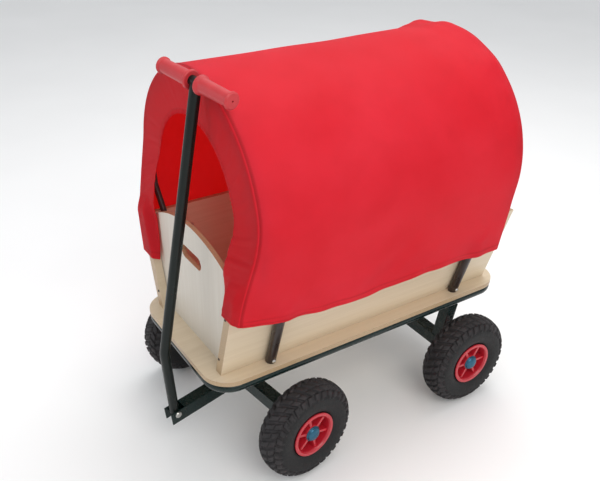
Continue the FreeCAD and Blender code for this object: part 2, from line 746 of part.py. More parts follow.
def rim():
    """A moulded rim around its own X axis, with ribs from hub to rim on both faces."""
    half = "Sizes.rim_width / 2"
    flange = "Sizes.rim_diameter / 2"
    seat = "Sizes.rim_seat_diameter / 2"
    wall = "Sizes.rim_wall"
    bore = "Sizes.rod_diameter / 2 + Sizes.rod_clearance"
    hub = "Sizes.hub_diameter / 2"
    hub_half = "Sizes.hub_width / 2"
    profile = spun(
        [
            (f"-{hub_half}", bore),
            (hub_half, bore),
            (hub_half, hub),
            (f"{wall} / 2", hub),
            (f"{wall} / 2", f"{seat} - {wall}"),
            (half, f"{seat} - {wall} + 3"),
            (half, flange),
            (f"{half} - {wall}", flange),
            (f"{half} - {wall}", seat),
            (f"-{half} + {wall}", seat),
            (f"-{half} + {wall}", flange),
            (f"-{half}", flange),
            (f"-{half}", f"{seat} - {wall} + 3"),
            (f"-{wall} / 2", f"{seat} - {wall}"),
            (f"-{wall} / 2", hub),
            (f"-{hub_half}", hub),
        ]
    )
    ribs = []
    count = int(size("rim_rib_count"))
    middle = (size("hub_diameter") + size("rim_seat_diameter")) / 4 - size("rim_wall") / 2
    for index in range(count):
        spoke = moved(rotation=turned(X_AXIS, index * 360 / count)).multiply(moved(z=middle))
        length = f"{seat} - {wall} - {hub} + 2"
        ribs.append(box("Sizes.rim_width - 2 * Sizes.rib_recess", "Sizes.rib_thick", length, spoke))
    return fuse(profile, *ribs)


def hub_cap():
    """A pressed dome that covers the hub and the rod's end."""
    start = "Sizes.hub_width / 2"
    return spun(
        [
            (start, "0"),
            (f"{start} + Sizes.cap_height", "0"),
            (f"{start} + Sizes.cap_height", "Sizes.cap_diameter * 0.20"),
            (f"{start} + Sizes.cap_height * 0.75", "Sizes.cap_diameter * 0.36"),
            (f"{start} + Sizes.cap_height * 0.30", "Sizes.cap_diameter * 0.47"),
            (start, "Sizes.cap_diameter / 2"),
        ]
    )


def make_wheels():
    tyre_form = tyre_shape()
    for end, _ in ENDS:
        if end == "front":
            base = steered()
        else:
            base = moved(y=size("rear_axle_behind"))
        for name, side in SIDES:
            outward = Rotation() if side > 0 else turned(Z_AXIS, 180)
            centre = moved(side * size("track") / 2, 0, size("axle_height"), outward)
            place = base.multiply(centre)
            label = f"{end}_{name}"
            add_node(f"tyre_{label}", shape_feature("tyre", tyre_form), place)
            add_node(f"rim_{label}", rim(), place)
            add_node(f"hub_cap_{label}", hub_cap(), place)


# ---------------------------------------------------------------- box


def make_deck():
    body = doc.addObject("PartDesign::Body", "deck")
    half_width = "Sizes.deck_width / 2"
    half_length = "Sizes.deck_length / 2"
    sketch = outline_sketch(
        body,
        [
            (f"-{half_width}", f"-{half_length}"),
            (half_width, f"-{half_length}"),
            (half_width, half_length),
            (f"-{half_width}", half_length),
        ],
    )
    pad = body.newObject("PartDesign::Pad", "pad")
    pad.Profile = sketch
    pad.setExpression("Length", "Sizes.deck_thick")
    doc.recompute()
    corners = []
    for index, edge in enumerate(pad.Shape.Edges, 1):
        rise = edge.Vertexes[0].Point - edge.Vertexes[-1].Point
        if abs(rise.x) + abs(rise.y) < 0.01:
            corners.append(f"Edge{index}")
    rounding = body.newObject("PartDesign::Fillet", "rounding")
    rounding.Base = (pad, corners)
    rounding.setExpression("Radius", "Sizes.deck_corner")
    body.Tip = rounding
    add_node("deck_board", body, moved(z=size("deck_bottom")))


def leaning_outline(outer, thickness, top):
    """A board between deck and top that leans outward, seen from the front."""
    lean = f"({top} - Sizes.deck_top) * tan(Sizes.side_lean)"
    return [
        (f"{outer} - {thickness}", "Sizes.deck_top"),
        (outer, "Sizes.deck_top"),
        (f"{outer} + {lean}", top),
        (f"{outer} - {thickness} + {lean}", top),
    ]


def post_bolt_frames():
    """Where each bolt crosses a side post and its panel, pointing outward."""
    frames = []
    for _, side in SIDES:
        for _, end in ENDS:
            for rise in (size("post_bolt_low"), size("post_bolt_high")):
                x = size("side_foot_offset") + side_shift(rise)
                lean = turned(Y_AXIS, 90 + size("side_lean"))
                out = lean if side > 0 else turned(Z_AXIS, 180).multiply(lean)
                y = end * size("post_spacing") / 2
                frames.append(moved(side * x, y, size("deck_top") + rise, out))
    return frames


def bolt_holes():
    """One tool for all the holes of the post bolts."""
    holes = []
    for frame in post_bolt_frames():
        hole = cylinder("Sizes.bolt_diameter / 2", "4 * Sizes.post_diameter")
        hole.Placement = frame.multiply(moved(z=-2 * size("post_diameter")))
        holes.append(hole)
    return fuse(*holes)


def make_side_panels(holes):
    for name, side in SIDES:
        outline = leaning_outline("Sizes.side_foot_offset", "Sizes.panel_across", "Sizes.side_top")
        panel = prism(outline, "Sizes.side_length")
        panel.Placement = moved(rotation=facing(side))
        add_node(f"side_panel_{name}", cut(panel, holes))


def make_end_panels():
    """Boards between the sides, with an arched top and a hand slot."""
    inner = "(Sizes.side_inner_foot - Sizes.end_play)"
    top = "(Sizes.deck_top + Sizes.end_arch_height)"
    lean = "(Sizes.end_arch_height * tan(Sizes.side_lean))"
    for name, end in ENDS:
        board = prism(
            [
                (f"-{inner}", "Sizes.deck_top"),
                (inner, "Sizes.deck_top"),
                (f"{inner} + {lean}", top),
                (f"-{inner} - {lean}", top),
            ],
            "Sizes.panel_thick",
        )
        board.Placement = moved(rotation=UPRIGHT)
        arch = cylinder("Sizes.end_arch_radius", "4 * Sizes.panel_thick")
        centre = size("deck_top") + size("end_arch_height") - size("end_arch_radius")
        arch.Placement = moved(y=2 * size("panel_thick"), z=centre, rotation=UPRIGHT)
        arched = doc.addObject("Part::Common", "arched_board")
        arched.Base = board
        arched.Tool = arch
        slot = hand_slot()
        slot.Placement = moved(z=size("deck_top") + size("slot_rise"))
        piece = cut(arched, slot)
        middle = size("end_outer_face") - size("panel_thick") / 2
        add_node(f"{name}_panel", piece, moved(y=end * middle))


def hand_slot():
    """A long hole with round ends, along X, cut through along Y."""
    straight = "Sizes.slot_length - Sizes.slot_height"
    pieces = [box(straight, "4 * Sizes.panel_thick", "Sizes.slot_height")]
    for _, side in SIDES:
        reach = side * (size("slot_length") - size("slot_height")) / 2
        finish = cylinder("Sizes.slot_height / 2", "4 * Sizes.panel_thick")
        finish.Placement = moved(x=reach, y=2 * size("panel_thick"), rotation=UPRIGHT)
        pieces.append(finish)
    return fuse(*pieces)


def screw_frames():
    """Where each batten screw enters the end of the box, pointing outward."""
    frames = []
    for _, side in SIDES:
        for _, end in ENDS:
            for rise in (size("screw_low"), size("screw_high")):
                x = size("side_inner_foot") - size("panel_across") / 2 + side_shift(rise)
                out = turned(X_AXIS, 90 if end < 0 else -90)
                y = end * size("side_length") / 2
                frames.append(moved(side * x, y, size("deck_top") + rise, out))
    return frames


def screw_holes():
    holes = []
    for frame in screw_frames():
        hole = cylinder("Sizes.bolt_diameter / 2", "Sizes.batten_width + 2")
        hole.Placement = frame.multiply(moved(z=-size("batten_width")))
        holes.append(hole)
    return fuse(*holes)


def make_battens():
    """Corner strips in front of each end panel, inside the side panels."""
    holes = screw_holes()
    top = "(Sizes.side_top - Sizes.batten_drop)"
    for end_name, end in ENDS:
        for name, side in SIDES:
            outline = leaning_outline("Sizes.side_inner_foot", "Sizes.panel_across", top)
            strip = prism(outline, "Sizes.batten_width")
            middle = size("side_length") / 2 - size("batten_width") / 2
            strip.Placement = moved(y=end * middle, rotation=facing(side))
            add_node(f"batten_{end_name}_{name}", cut(strip, holes))


def make_side_posts(holes):
    """Tubes outside the side panels that lean with them and stand on the deck."""
    below = moved(z=size("deck_top") / 2)
    under = box("4 * Sizes.deck_width", "2 * Sizes.deck_length", "Sizes.deck_top", below)
    lean = size("side_lean")
    across = (size("post_diameter") / 2 + size("post_gap")) / math.cos(math.radians(lean))
    start = 20.0
    for end_name, end in ENDS:
        for name, side in SIDES:
            height = f"({size('post_top') / math.cos(math.radians(lean)) + start})"
            outer = cylinder("Sizes.post_diameter / 2", height)
            inner = cylinder(
                "Sizes.post_diameter / 2 - Sizes.post_wall", f"{height} + 2", moved(z=-1)
            )
            tube = cut(outer, inner)
            foot = Vector(
                side * (size("side_foot_offset") + across),
                end * size("post_spacing") / 2,
                size("deck_top"),
            )
            upright = Placement(foot, turned(Y_AXIS, side * lean))
            tube.Placement = upright.multiply(moved(z=-start))
            add_node(f"side_post_{end_name}_{name}", cut(tube, under, holes))


# ---------------------------------------------------------------- fasteners


def fastener(length, head, height, inner_head):
    """A bolt or screw along X: its head starts at 0 and its shank runs to -length."""
    shank = "Sizes.bolt_diameter / 2"
    outline = [
        (f"-{length}", "0"),
        (height, "0"),
        (height, f"{head} * 0.55"),
        (f"{height} * 0.5", f"{head} * 0.9"),
        ("0", head),
        ("0", shank),
        (f"-{length} + 4", shank),
    ]
    if inner_head:
        outline = outline + [(f"-{length} + 4", head), (f"-{length}", head)]
    else:
        outline = outline + [(f"-{length}", f"{shank} - 2")]
    return spun(outline)


def group(label, form, frames):
    """Several like fasteners in one node, each a solid of its own."""
    doc.recompute()
    along_z = turned(Y_AXIS, -90)
    copies = []
    for frame in frames:
        piece = form.Shape.copy()
        piece.Placement = frame.multiply(moved(rotation=along_z))
        copies.append(piece)
    add_node(label, shape_feature(label, Part.makeCompound(copies)))


def make_fasteners():
    post_outside = size("post_diameter") + size("post_gap")
    through = f"({post_outside} + Sizes.panel_thick + 4)"
    frames = [frame.multiply(moved(z=post_outside)) for frame in post_bolt_frames()]
    bolt = fastener(through, "(Sizes.bolt_head / 2)", "Sizes.bolt_head_height", True)
    group("post_bolts", bolt, frames)
    screw = fastener(
        "(Sizes.batten_width - 2)", "(Sizes.screw_head / 2)", "Sizes.screw_head_height", False
    )
    group("batten_screws", screw, screw_frames())


# ---------------------------------------------------------------- hoops and cover


def hoop_leg_offset(rise):
    """The hoop leg beside the inner face of a side panel, at a height above the deck."""
    lean = math.cos(math.radians(size("side_lean")))
    reach = size("hoop_tube") / 2 - size("hoop_press")
    return size("side_inner_foot") + side_shift(rise) - reach / lean


def hoop_edges():
    """A hoop in the XZ plane: an arc over the box, knees, and legs inside the panels."""
    radius = size("hoop_radius")
    centre = size("cover_centre")
    turn_in = math.radians(size("hoop_turn_in"))
    shoulder = Vector(radius * math.cos(turn_in), 0, centre - radius * math.sin(turn_in))
    knee_height = size("side_top") + size("hoop_knee_rise")
    fall = shoulder.z - knee_height
    knee = Vector(shoulder.x - fall * math.tan(turn_in), 0, knee_height)
    rail_rise = size("side_height") + size("hoop_rail_rise")
    rail = Vector(hoop_leg_offset(rail_rise), 0, size("deck_top") + rail_rise)
    foot_rise = size("side_height") - size("hoop_leg_drop")
    foot = Vector(hoop_leg_offset(foot_rise), 0, size("deck_top") + foot_rise)
    right = rounded_path([foot, rail, knee, shoulder], size("hoop_knee_radius"))
    mirror = FreeCAD.Matrix()
    mirror.A11 = -1
    left = [edge.transformGeometry(mirror) for edge in right]
    top = Vector(0, 0, centre + radius)
    over = Part.Arc(shoulder, top, Vector(-shoulder.x, 0, shoulder.z)).toShape()
    return right + [over] + left


def make_hoops():
    places = {
        "hoop_front": -size("cover_front") + size("hoop_setback"),
        "hoop_rear": size("cover_rear") - size("hoop_setback"),
    }
    rod = swept_tube(hoop_edges(), size("hoop_tube"))
    for label, y in places.items():
        add_node(label, shape_feature(label, rod), moved(y=y))


def cover_section(inset):
    """The barrel seen from the front: an arc with side flaps that lean in."""
    radius = size("cover_radius") - inset
    centre = size("cover_centre")
    turn_in = math.radians(size("cover_turn_in"))
    shoulder = Vector(radius * math.cos(turn_in), 0, centre - radius * math.sin(turn_in))
    fall = shoulder.z - size("cover_hem")
    hem = Vector(shoulder.x - fall * math.tan(turn_in), 0, size("cover_hem"))
    return shoulder, hem, Vector(0, 0, centre + radius)


def cover_face(inset, drop):
    """A face inside the barrel section, down to a height below the hem."""
    shoulder, hem, top = cover_section(inset)
    low = hem - Vector(0, 0, drop)
    edges = [Part.Arc(shoulder, top, Vector(-shoulder.x, 0, shoulder.z)).toShape()]
    corners = [
        Vector(-shoulder.x, 0, shoulder.z),
        Vector(-hem.x, 0, hem.z),
        Vector(-low.x, 0, low.z),
        low,
        hem,
        shoulder,
    ]
    for start, end in zip(corners, corners[1:]):
        if (end - start).Length > 0.01:
            edges.append(Part.LineSegment(start, end).toShape())
    return Part.Face(Part.Wire(Part.__sortEdges__(edges)))


def front_edge_points(shift):
    """The front edge of the cover seen from the side, from its fold down to the hem."""
    fold = -size("cover_front") + shift
    deck = size("deck_top")
    return [
        Vector(0, fold, size("cover_centre") + 2 * size("cover_radius")),
        Vector(0, fold, deck + size("flap_start_rise")),
        Vector(0, fold - size("flap_bend_ahead"), deck + size("flap_bend_rise")),
        Vector(0, fold - size("flap_corner_ahead"), deck + size("flap_corner_rise")),
    ]


def region_face(edges, corners):
    """A face in YZ bounded by edges and then straight lines around the given corners."""
    outline = list(edges)
    for first, second in zip(corners, corners[1:]):
        outline.append(Part.LineSegment(first, second).toShape())
    return Part.Face(Part.Wire(Part.__sortEdges__(outline)))


def ahead_of_cover(shift):
    """The space in front of the cover's front edge."""
    points = front_edge_points(shift)
    edge = rounded_path(points, size("flap_bend_radius"))
    start = points[0]
    end = points[-1]
    far = end.y - 2 * size("flap_corner_ahead")
    corners = [end, Vector(0, end.y, 0), Vector(0, far, 0), Vector(0, far, start.z), start]
    return across_width(region_face(edge, corners))


def below_hem():
    """The space under the hem, which rises towards the front corner."""
    corner = front_edge_points(0)[-1]
    rear = Vector(0, size("cover_rear"), size("cover_hem"))
    middle = Vector(0, (corner.y + rear.y) / 2, size("cover_hem"))
    arc = Part.Arc(corner, middle, rear).toShape()
    beyond = rear.y + size("cover_rear")
    before = corner.y - size("cover_front")
    corners = [
        rear,
        Vector(0, beyond, rear.z),
        Vector(0, beyond, 0),
        Vector(0, before, 0),
        Vector(0, before, corner.z),
        corner,
    ]
    return across_width(region_face([arc], corners))


def across_width(face):
    """A face in YZ drawn out to both sides, past the whole cover."""
    reach = 2 * size("cover_radius")
    copy = face.copy()
    copy.translate(Vector(-reach, 0, 0))
    return copy.extrude(Vector(2 * reach, 0, 0))


def end_opening():
    """The arched opening of each end of the cover, along Y."""
    radius = size("opening_radius")
    centre = size("cover_centre") - size("opening_drop")
    length = 4 * size("cover_front")
    half = length / 2
    arch = Part.makeCylinder(radius, length, Vector(0, -half, centre), Y_AXIS)
    foot = size("opening_foot")
    floor = size("deck_top")
    corners = [
        Vector(-radius, -half, centre),
        Vector(radius, -half, centre),
        Vector(foot, -half, floor),
        Vector(-foot, -half, floor),
        Vector(-radius, -half, centre),
    ]
    below = Part.Face(Part.makePolygon(corners)).extrude(Y_AXIS * length)
    return arch.fuse(below)


def make_cover():
    """The barrel over the hoops, and the band turned inward at each end."""
    thick = size("cover_thick")
    start = front_edge_points(0)[-1].y
    rear = size("cover_rear")
    length = Vector(0, rear - start, 0)
    outer = cover_face(0, 20).extrude(length)
    inner = cover_face(thick, 40).extrude(length)
    outer.translate(Vector(0, start, 0))
    inner.translate(Vector(0, start, 0))
    ahead = ahead_of_cover(0)
    under = below_hem()
    barrel = outer.cut(inner).cut(ahead).cut(under)
    add_node("cover_barrel", shape_feature("cover_barrel", barrel))

    filling = inner.cut(end_opening())
    front_band = filling.common(ahead_of_cover(thick)).cut(ahead).cut(under)
    add_node("cover_front_band", shape_feature("cover_front_band", front_band))
    reach = 2 * size("cover_radius")
    above = Vector(-reach, rear - thick, size("side_top") + size("rim_foot_gap"))
    rear_band = filling.common(Part.makeBox(2 * reach, thick, reach, above))
    add_node("cover_rear_band", shape_feature("cover_rear_band", rear_band))


# ---------------------------------------------------------------- build


def check_and_write():
    """Stop if anything failed, then write each sub-part."""
    doc.recompute()
    for item in doc.Objects:
        if "Invalid" in item.State or "Error" in item.State:
            raise RuntimeError(f"{item.Label} failed: {item.State}")
    os.makedirs("parts", exist_ok=True)
    for piece in nodes:
        shape = piece.Shape
        if shape.isNull() or not shape.isValid() or not shape.Solids:
            raise RuntimeError(f"{piece.Label} has no valid solid")
    for piece in nodes:
        piece.Shape.exportStep(f"parts/{piece.Label}.step")
    print(len(nodes), "sub-parts written")


fill_sheet()
make_frame()
make_rear_undercarriage()
make_turntable()
make_front_axle()
make_drawbar()
make_pull_handle()
make_wheels()
make_deck()
post_holes = bolt_holes()
make_side_panels(post_holes)
make_end_panels()
make_battens()
make_side_posts(post_holes)
make_fasteners()
make_hoops()
make_cover()
check_and_write()
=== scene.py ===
"""The look of a covered plywood hand wagon: cloth, timber, paint and rubber on its CAD frame.

Lengths are in metres in the frame of the wagon: the origin is on the ground under the
middle of the deck, -Y is the front with the pull handle, and +Z is up.
"""

import math

import bmesh
import bpy
import numpy as np
from mathutils import Matrix, Vector


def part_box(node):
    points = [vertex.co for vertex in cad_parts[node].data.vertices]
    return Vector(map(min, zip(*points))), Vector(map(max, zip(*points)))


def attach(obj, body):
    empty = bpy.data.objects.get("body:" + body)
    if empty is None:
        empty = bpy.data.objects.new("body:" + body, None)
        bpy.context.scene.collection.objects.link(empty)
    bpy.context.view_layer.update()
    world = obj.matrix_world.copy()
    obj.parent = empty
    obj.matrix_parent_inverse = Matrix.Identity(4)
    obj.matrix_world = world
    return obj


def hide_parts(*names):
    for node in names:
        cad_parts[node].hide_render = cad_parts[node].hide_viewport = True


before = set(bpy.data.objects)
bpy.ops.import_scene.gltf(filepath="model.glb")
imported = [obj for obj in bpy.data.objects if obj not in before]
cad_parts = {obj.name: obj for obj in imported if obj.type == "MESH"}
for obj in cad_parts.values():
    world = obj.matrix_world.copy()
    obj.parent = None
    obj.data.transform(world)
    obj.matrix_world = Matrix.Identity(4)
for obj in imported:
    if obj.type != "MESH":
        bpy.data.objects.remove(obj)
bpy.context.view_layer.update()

SIDES = {"right": 1, "left": -1}
DECK_TOP = 0.3055
DECK_THICKNESS = 0.012
SIDE_LEAN = math.radians(16.7)
SIDE_FOOT = 0.176
STEER = math.radians(7.2)
POST_PLACES = (-0.295, 0.295)

PLY_PAIR = 0.0024  # a light ply and a dark ply together
THREAD_SPACING = 0.0007
STITCH_LENGTH = 0.0042

# ---------------------------------------------------------------- materials


class Shader:
    """A material with one Principled surface and helpers for the textures that feed it."""

    def __init__(self, name):
        self.material = bpy.data.materials.new(name)
        self.material.use_nodes = True
        self.tree = self.material.node_tree
        self.tree.nodes.clear()
        self.out = self.node("ShaderNodeOutputMaterial")
        self.surface = self.node("ShaderNodeBsdfPrincipled")
        self.tree.links.new(self.surface.outputs[0], self.out.inputs["Surface"])
        self.place = self.node("ShaderNodeTexCoord").outputs["Object"]

    def node(self, kind, **settings):
        made = self.tree.nodes.new(kind)
        for name, value in settings.items():
            setattr(made, name, value)
        return made

    def feed(self, socket, value):
        """Link an output to a socket, or set the socket to a plain value."""
        if isinstance(value, bpy.types.NodeSocket):
            self.tree.links.new(value, socket)
        elif hasattr(value, "__len__") and len(value) == 3 and len(socket.default_value) == 4:
            socket.default_value = (*value, 1.0)
        else:
            socket.default_value = value

    def set(self, **values):
        for name, value in values.items():
            self.feed(self.surface.inputs[name.replace("_", " ")], value)
        return self

    def maths(self, operation, *values):
        made = self.node("ShaderNodeMath", operation=operation)
        for socket, value in zip(made.inputs, values):
            self.feed(socket, value)
        return made.outputs[0]

    def stretched(self, scale, place=None):
        """The place in the object, scaled along each axis."""
        made = self.node("ShaderNodeMapping")
        self.feed(made.inputs["Vector"], place or self.place)
        made.inputs["Scale"].default_value = scale
        return made.outputs[0]

    def noise(self, scale, detail=3.0, roughness=0.5, place=None, distortion=0.0):
        made = self.node("ShaderNodeTexNoise")
        self.feed(made.inputs["Vector"], place or self.place)
        made.inputs["Scale"].default_value = scale
        made.inputs["Detail"].default_value = detail
        made.inputs["Roughness"].default_value = roughness
        made.inputs["Distortion"].default_value = distortion
        return made.outputs["Fac"]

    def ramp(self, value, *stops):
        """A colour ramp: each stop is a place from 0 to 1 and a colour or a grey."""
        made = self.node("ShaderNodeValToRGB")
        self.feed(made.inputs[0], value)
        points = made.color_ramp.elements
        while len(points) < len(stops):
            points.new(0.5)
        for point, (position, colour) in zip(points, stops):
            if not hasattr(colour, "__len__"):
                colour = (colour, colour, colour)
            point.position = position
            point.color = (*colour, 1.0)
        return made.outputs["Color"]

    def mix(self, amount, first, second):
        made = self.node("ShaderNodeMix", data_type="RGBA")
        self.feed(made.inputs["Factor"], amount)
        self.feed(made.inputs["A"], first)
        self.feed(made.inputs["B"], second)
        return made.outputs["Result"]

    def map_range(self, value, low, high, to_low=0.0, to_high=1.0):
        made = self.node("ShaderNodeMapRange")
        for socket, given in zip(made.inputs, (value, low, high, to_low, to_high)):
            self.feed(socket, given)
        return made.outputs[0]

    def bump(self, height, strength=0.3, distance=0.001, under=None):
        made = self.node("ShaderNodeBump")
        made.inputs["Strength"].default_value = strength
        made.inputs["Distance"].default_value = distance
        self.feed(made.inputs["Height"], height)
        if under is not None:
            self.feed(made.inputs["Normal"], under)
        return made.outputs[0]

    def along(self, direction, offset=0.0):
        """How far a point lies along a direction."""
        made = self.node("ShaderNodeVectorMath", operation="DOT_PRODUCT")
        self.feed(made.inputs[0], self.place)
        made.inputs[1].default_value = direction
        return self.maths("SUBTRACT", made.outputs["Value"], offset)

    def facing(self, direction):
        """How squarely the surface faces a direction, either way, from 0 to 1."""
        geometry = self.node("ShaderNodeNewGeometry")
        made = self.node("ShaderNodeVectorMath", operation="DOT_PRODUCT")
        self.feed(made.inputs[0], geometry.outputs["True Normal"])
        made.inputs[1].default_value = direction
        return self.maths("ABSOLUTE", made.outputs["Value"])

    def attribute(self, name):
        return self.node("ShaderNodeAttribute", attribute_name=name).outputs["Fac"]


def plywood(name, normal, offset, grain, figuring=0.4, hue=(1.0, 1.0, 1.0)):
    """Varnished plywood: veneer on its faces, and plies with glue lines along its edges.

    normal is square to the board, offset is where the board starts along it, and grain
    is how the texture is stretched so that the fibres run the right way. figuring is how
    strongly the growth rings show, and hue tints the veneer; a cool hue is painted shade.
    """
    shader = Shader(name)
    fibres = shader.noise(1.0, 6.0, 0.62, shader.stretched(tuple(g * 95 for g in grain)))
    pores = shader.noise(1.0, 2.0, 0.5, shader.stretched(tuple(g * 420 for g in grain)))
    bands = shader.noise(
        1.0, 2.0, 0.45, shader.stretched(tuple(g * 13 for g in grain)), distortion=1.2
    )
    cloud = shader.noise(3.2, 2.0, 0.5)
    pale = tuple(c * h for c, h in zip((0.67, 0.56, 0.41), hue))
    mid = tuple(c * h for c, h in zip((0.60, 0.48, 0.33), hue))
    deep = tuple(c * h for c, h in zip((0.46, 0.35, 0.22), hue))
    rings = shader.maths("FRACT", shader.maths("MULTIPLY", bands, 9.0))
    figure = shader.ramp(rings, (0.0, mid), (0.55, pale), (0.9, pale), (1.0, mid))
    streak = shader.map_range(fibres, 0.35, 0.75)
    figure = shader.mix(1.0 - figuring, figure, pale)
    face = shader.mix(shader.maths("MULTIPLY", streak, 0.24), figure, deep)
    face = shader.mix(shader.map_range(pores, 0.62, 0.8, 0.0, 0.25), face, deep)
    face = shader.mix(shader.map_range(cloud, 0.3, 0.7, 0.0, 0.22), face, mid)
    depth = shader.along(normal, offset)
    ply = shader.maths("MULTIPLY", depth, 1 / PLY_PAIR)
    ply = shader.maths("FRACT", shader.maths("ADD", ply, 40.0))
    wavy = shader.noise(160.0, 2.0)
    ply = shader.maths("ADD", ply, shader.maths("MULTIPLY", wavy, 0.12))
    edge = shader.ramp(
        ply,
        (0.06, (0.16, 0.09, 0.045)),
        (0.14, (0.50, 0.36, 0.21)),
        (0.50, (0.60, 0.46, 0.29)),
        (0.56, (0.33, 0.21, 0.115)),
        (0.94, (0.40, 0.27, 0.15)),
    )
    grit = shader.noise(900.0, 2.0)
    edge = shader.mix(shader.map_range(grit, 0.3, 0.7, 0.0, 0.3), edge, (0.28, 0.18, 0.1))
    flat = shader.map_range(shader.facing(normal), 0.75, 0.9)
    colour = shader.mix(flat, edge, face)
    shader.set(Base_Color=colour, Coat_Weight=0.22, Coat_Roughness=0.28)
    shader.set(Roughness=shader.map_range(fibres, 0.2, 0.8, 0.36, 0.52))
    height = shader.maths("ADD", fibres, shader.maths("MULTIPLY", pores, 0.5))
    shader.set(Normal=shader.bump(height, 0.22, 0.0004))
    return shader.material


def paint(name, colour, roughness=0.24, coat=0.35, wear=0.12):
    """Glossy stove enamel on steel, with orange peel, dust and a few dull rubs."""
    shader = Shader(name)
    cloud = shader.noise(9.0, 4.0, 0.6)
    specks = shader.noise(700.0, 1.0)
    light = tuple(min(1.0, c * 1.7 + 0.003) for c in colour)
    base = shader.mix(shader.map_range(cloud, 0.35, 0.75, 0.0, 0.6), colour, light)
    base = shader.mix(shader.map_range(specks, 0.72, 0.80, 0.0, wear), base, (0.10, 0.10, 0.09))
    rub = shader.noise(38.0, 5.0, 0.7)
    shader.set(Base_Color=base, Coat_Weight=coat, Coat_Roughness=0.12)
    shader.set(Roughness=shader.map_range(rub, 0.35, 0.7, roughness * 0.8, roughness * 1.5))
    shader.set(Specular_IOR_Level=0.26)
    peel = shader.noise(260.0, 2.0)
    shader.set(Normal=shader.bump(peel, 0.10, 0.0004))
    return shader.material


def plated_steel(name, colour=(0.62, 0.61, 0.58)):
    """Zinc plating with faint turning marks and blotches."""
    shader = Shader(name)
    blotch = shader.noise(120.0, 4.0, 0.6)
    lines = shader.noise(1.0, 2.0, 0.5, shader.stretched((2600, 300, 300)))
    dark = tuple(c * 0.62 for c in colour)
    shader.set(Base_Color=shader.mix(shader.map_range(blotch, 0.3, 0.75), colour, dark))
    shader.set(Metallic=1.0, Roughness=shader.map_range(blotch, 0.3, 0.7, 0.22, 0.42))
    shader.set(Normal=shader.bump(lines, 0.12, 0.0003))
    return shader.material


def moulded(name, colour, roughness=0.3, coat=0.25, grain=420.0, translucency=0.06):
    """Moulded plastic or vinyl: a faint mould texture and slight flow marks."""
    shader = Shader(name)
    flow = shader.noise(26.0, 4.0, 0.6)
    deep = tuple(c * 0.72 for c in colour)
    shader.set(Base_Color=shader.mix(shader.map_range(flow, 0.35, 0.7, 0.0, 0.5), colour, deep))
    dust = shader.noise(grain, 3.0, 0.6)
    shader.set(Roughness=shader.map_range(dust, 0.3, 0.7, roughness * 0.8, roughness * 1.35))
    shader.set(Coat_Weight=coat, Coat_Roughness=0.15, Subsurface_Weight=translucency)
    shader.surface.inputs["Subsurface Scale"].default_value = 0.002
    shader.set(Normal=shader.bump(dust, 0.12, 0.0004))
    return shader.material


def tyre_rubber():
    """Black rubber: dull, with lighter brownish patches in the tread, smoother and blacker on the
    walls.
    """
    shader = Shader("tyre_rubber")
    tread = shader.attribute("tread")
    cloud = shader.noise(34.0, 5.0, 0.65)
    dust = shader.noise(260.0, 3.0, 0.6)
    wall = (0.0065, 0.0065, 0.0070)
    # the tread is lighter than the walls, in brownish patches
    tread_patches = shader.ramp(cloud, (0.3, (0.009, 0.008, 0.009)), (0.75, (0.034, 0.029, 0.031)))
    shader.set(Base_Color=shader.mix(tread, wall, tread_patches))
    shader.set(Roughness=shader.map_range(dust, 0.25, 0.75, 0.50, 0.78))
    shader.set(Specular_IOR_Level=0.38)
    fine = shader.noise(1500.0, 2.0)
    height = shader.maths("ADD", dust, shader.maths("MULTIPLY", fine, 0.4))
    shader.set(Normal=shader.bump(height, 0.30, 0.0005))
    return shader.material


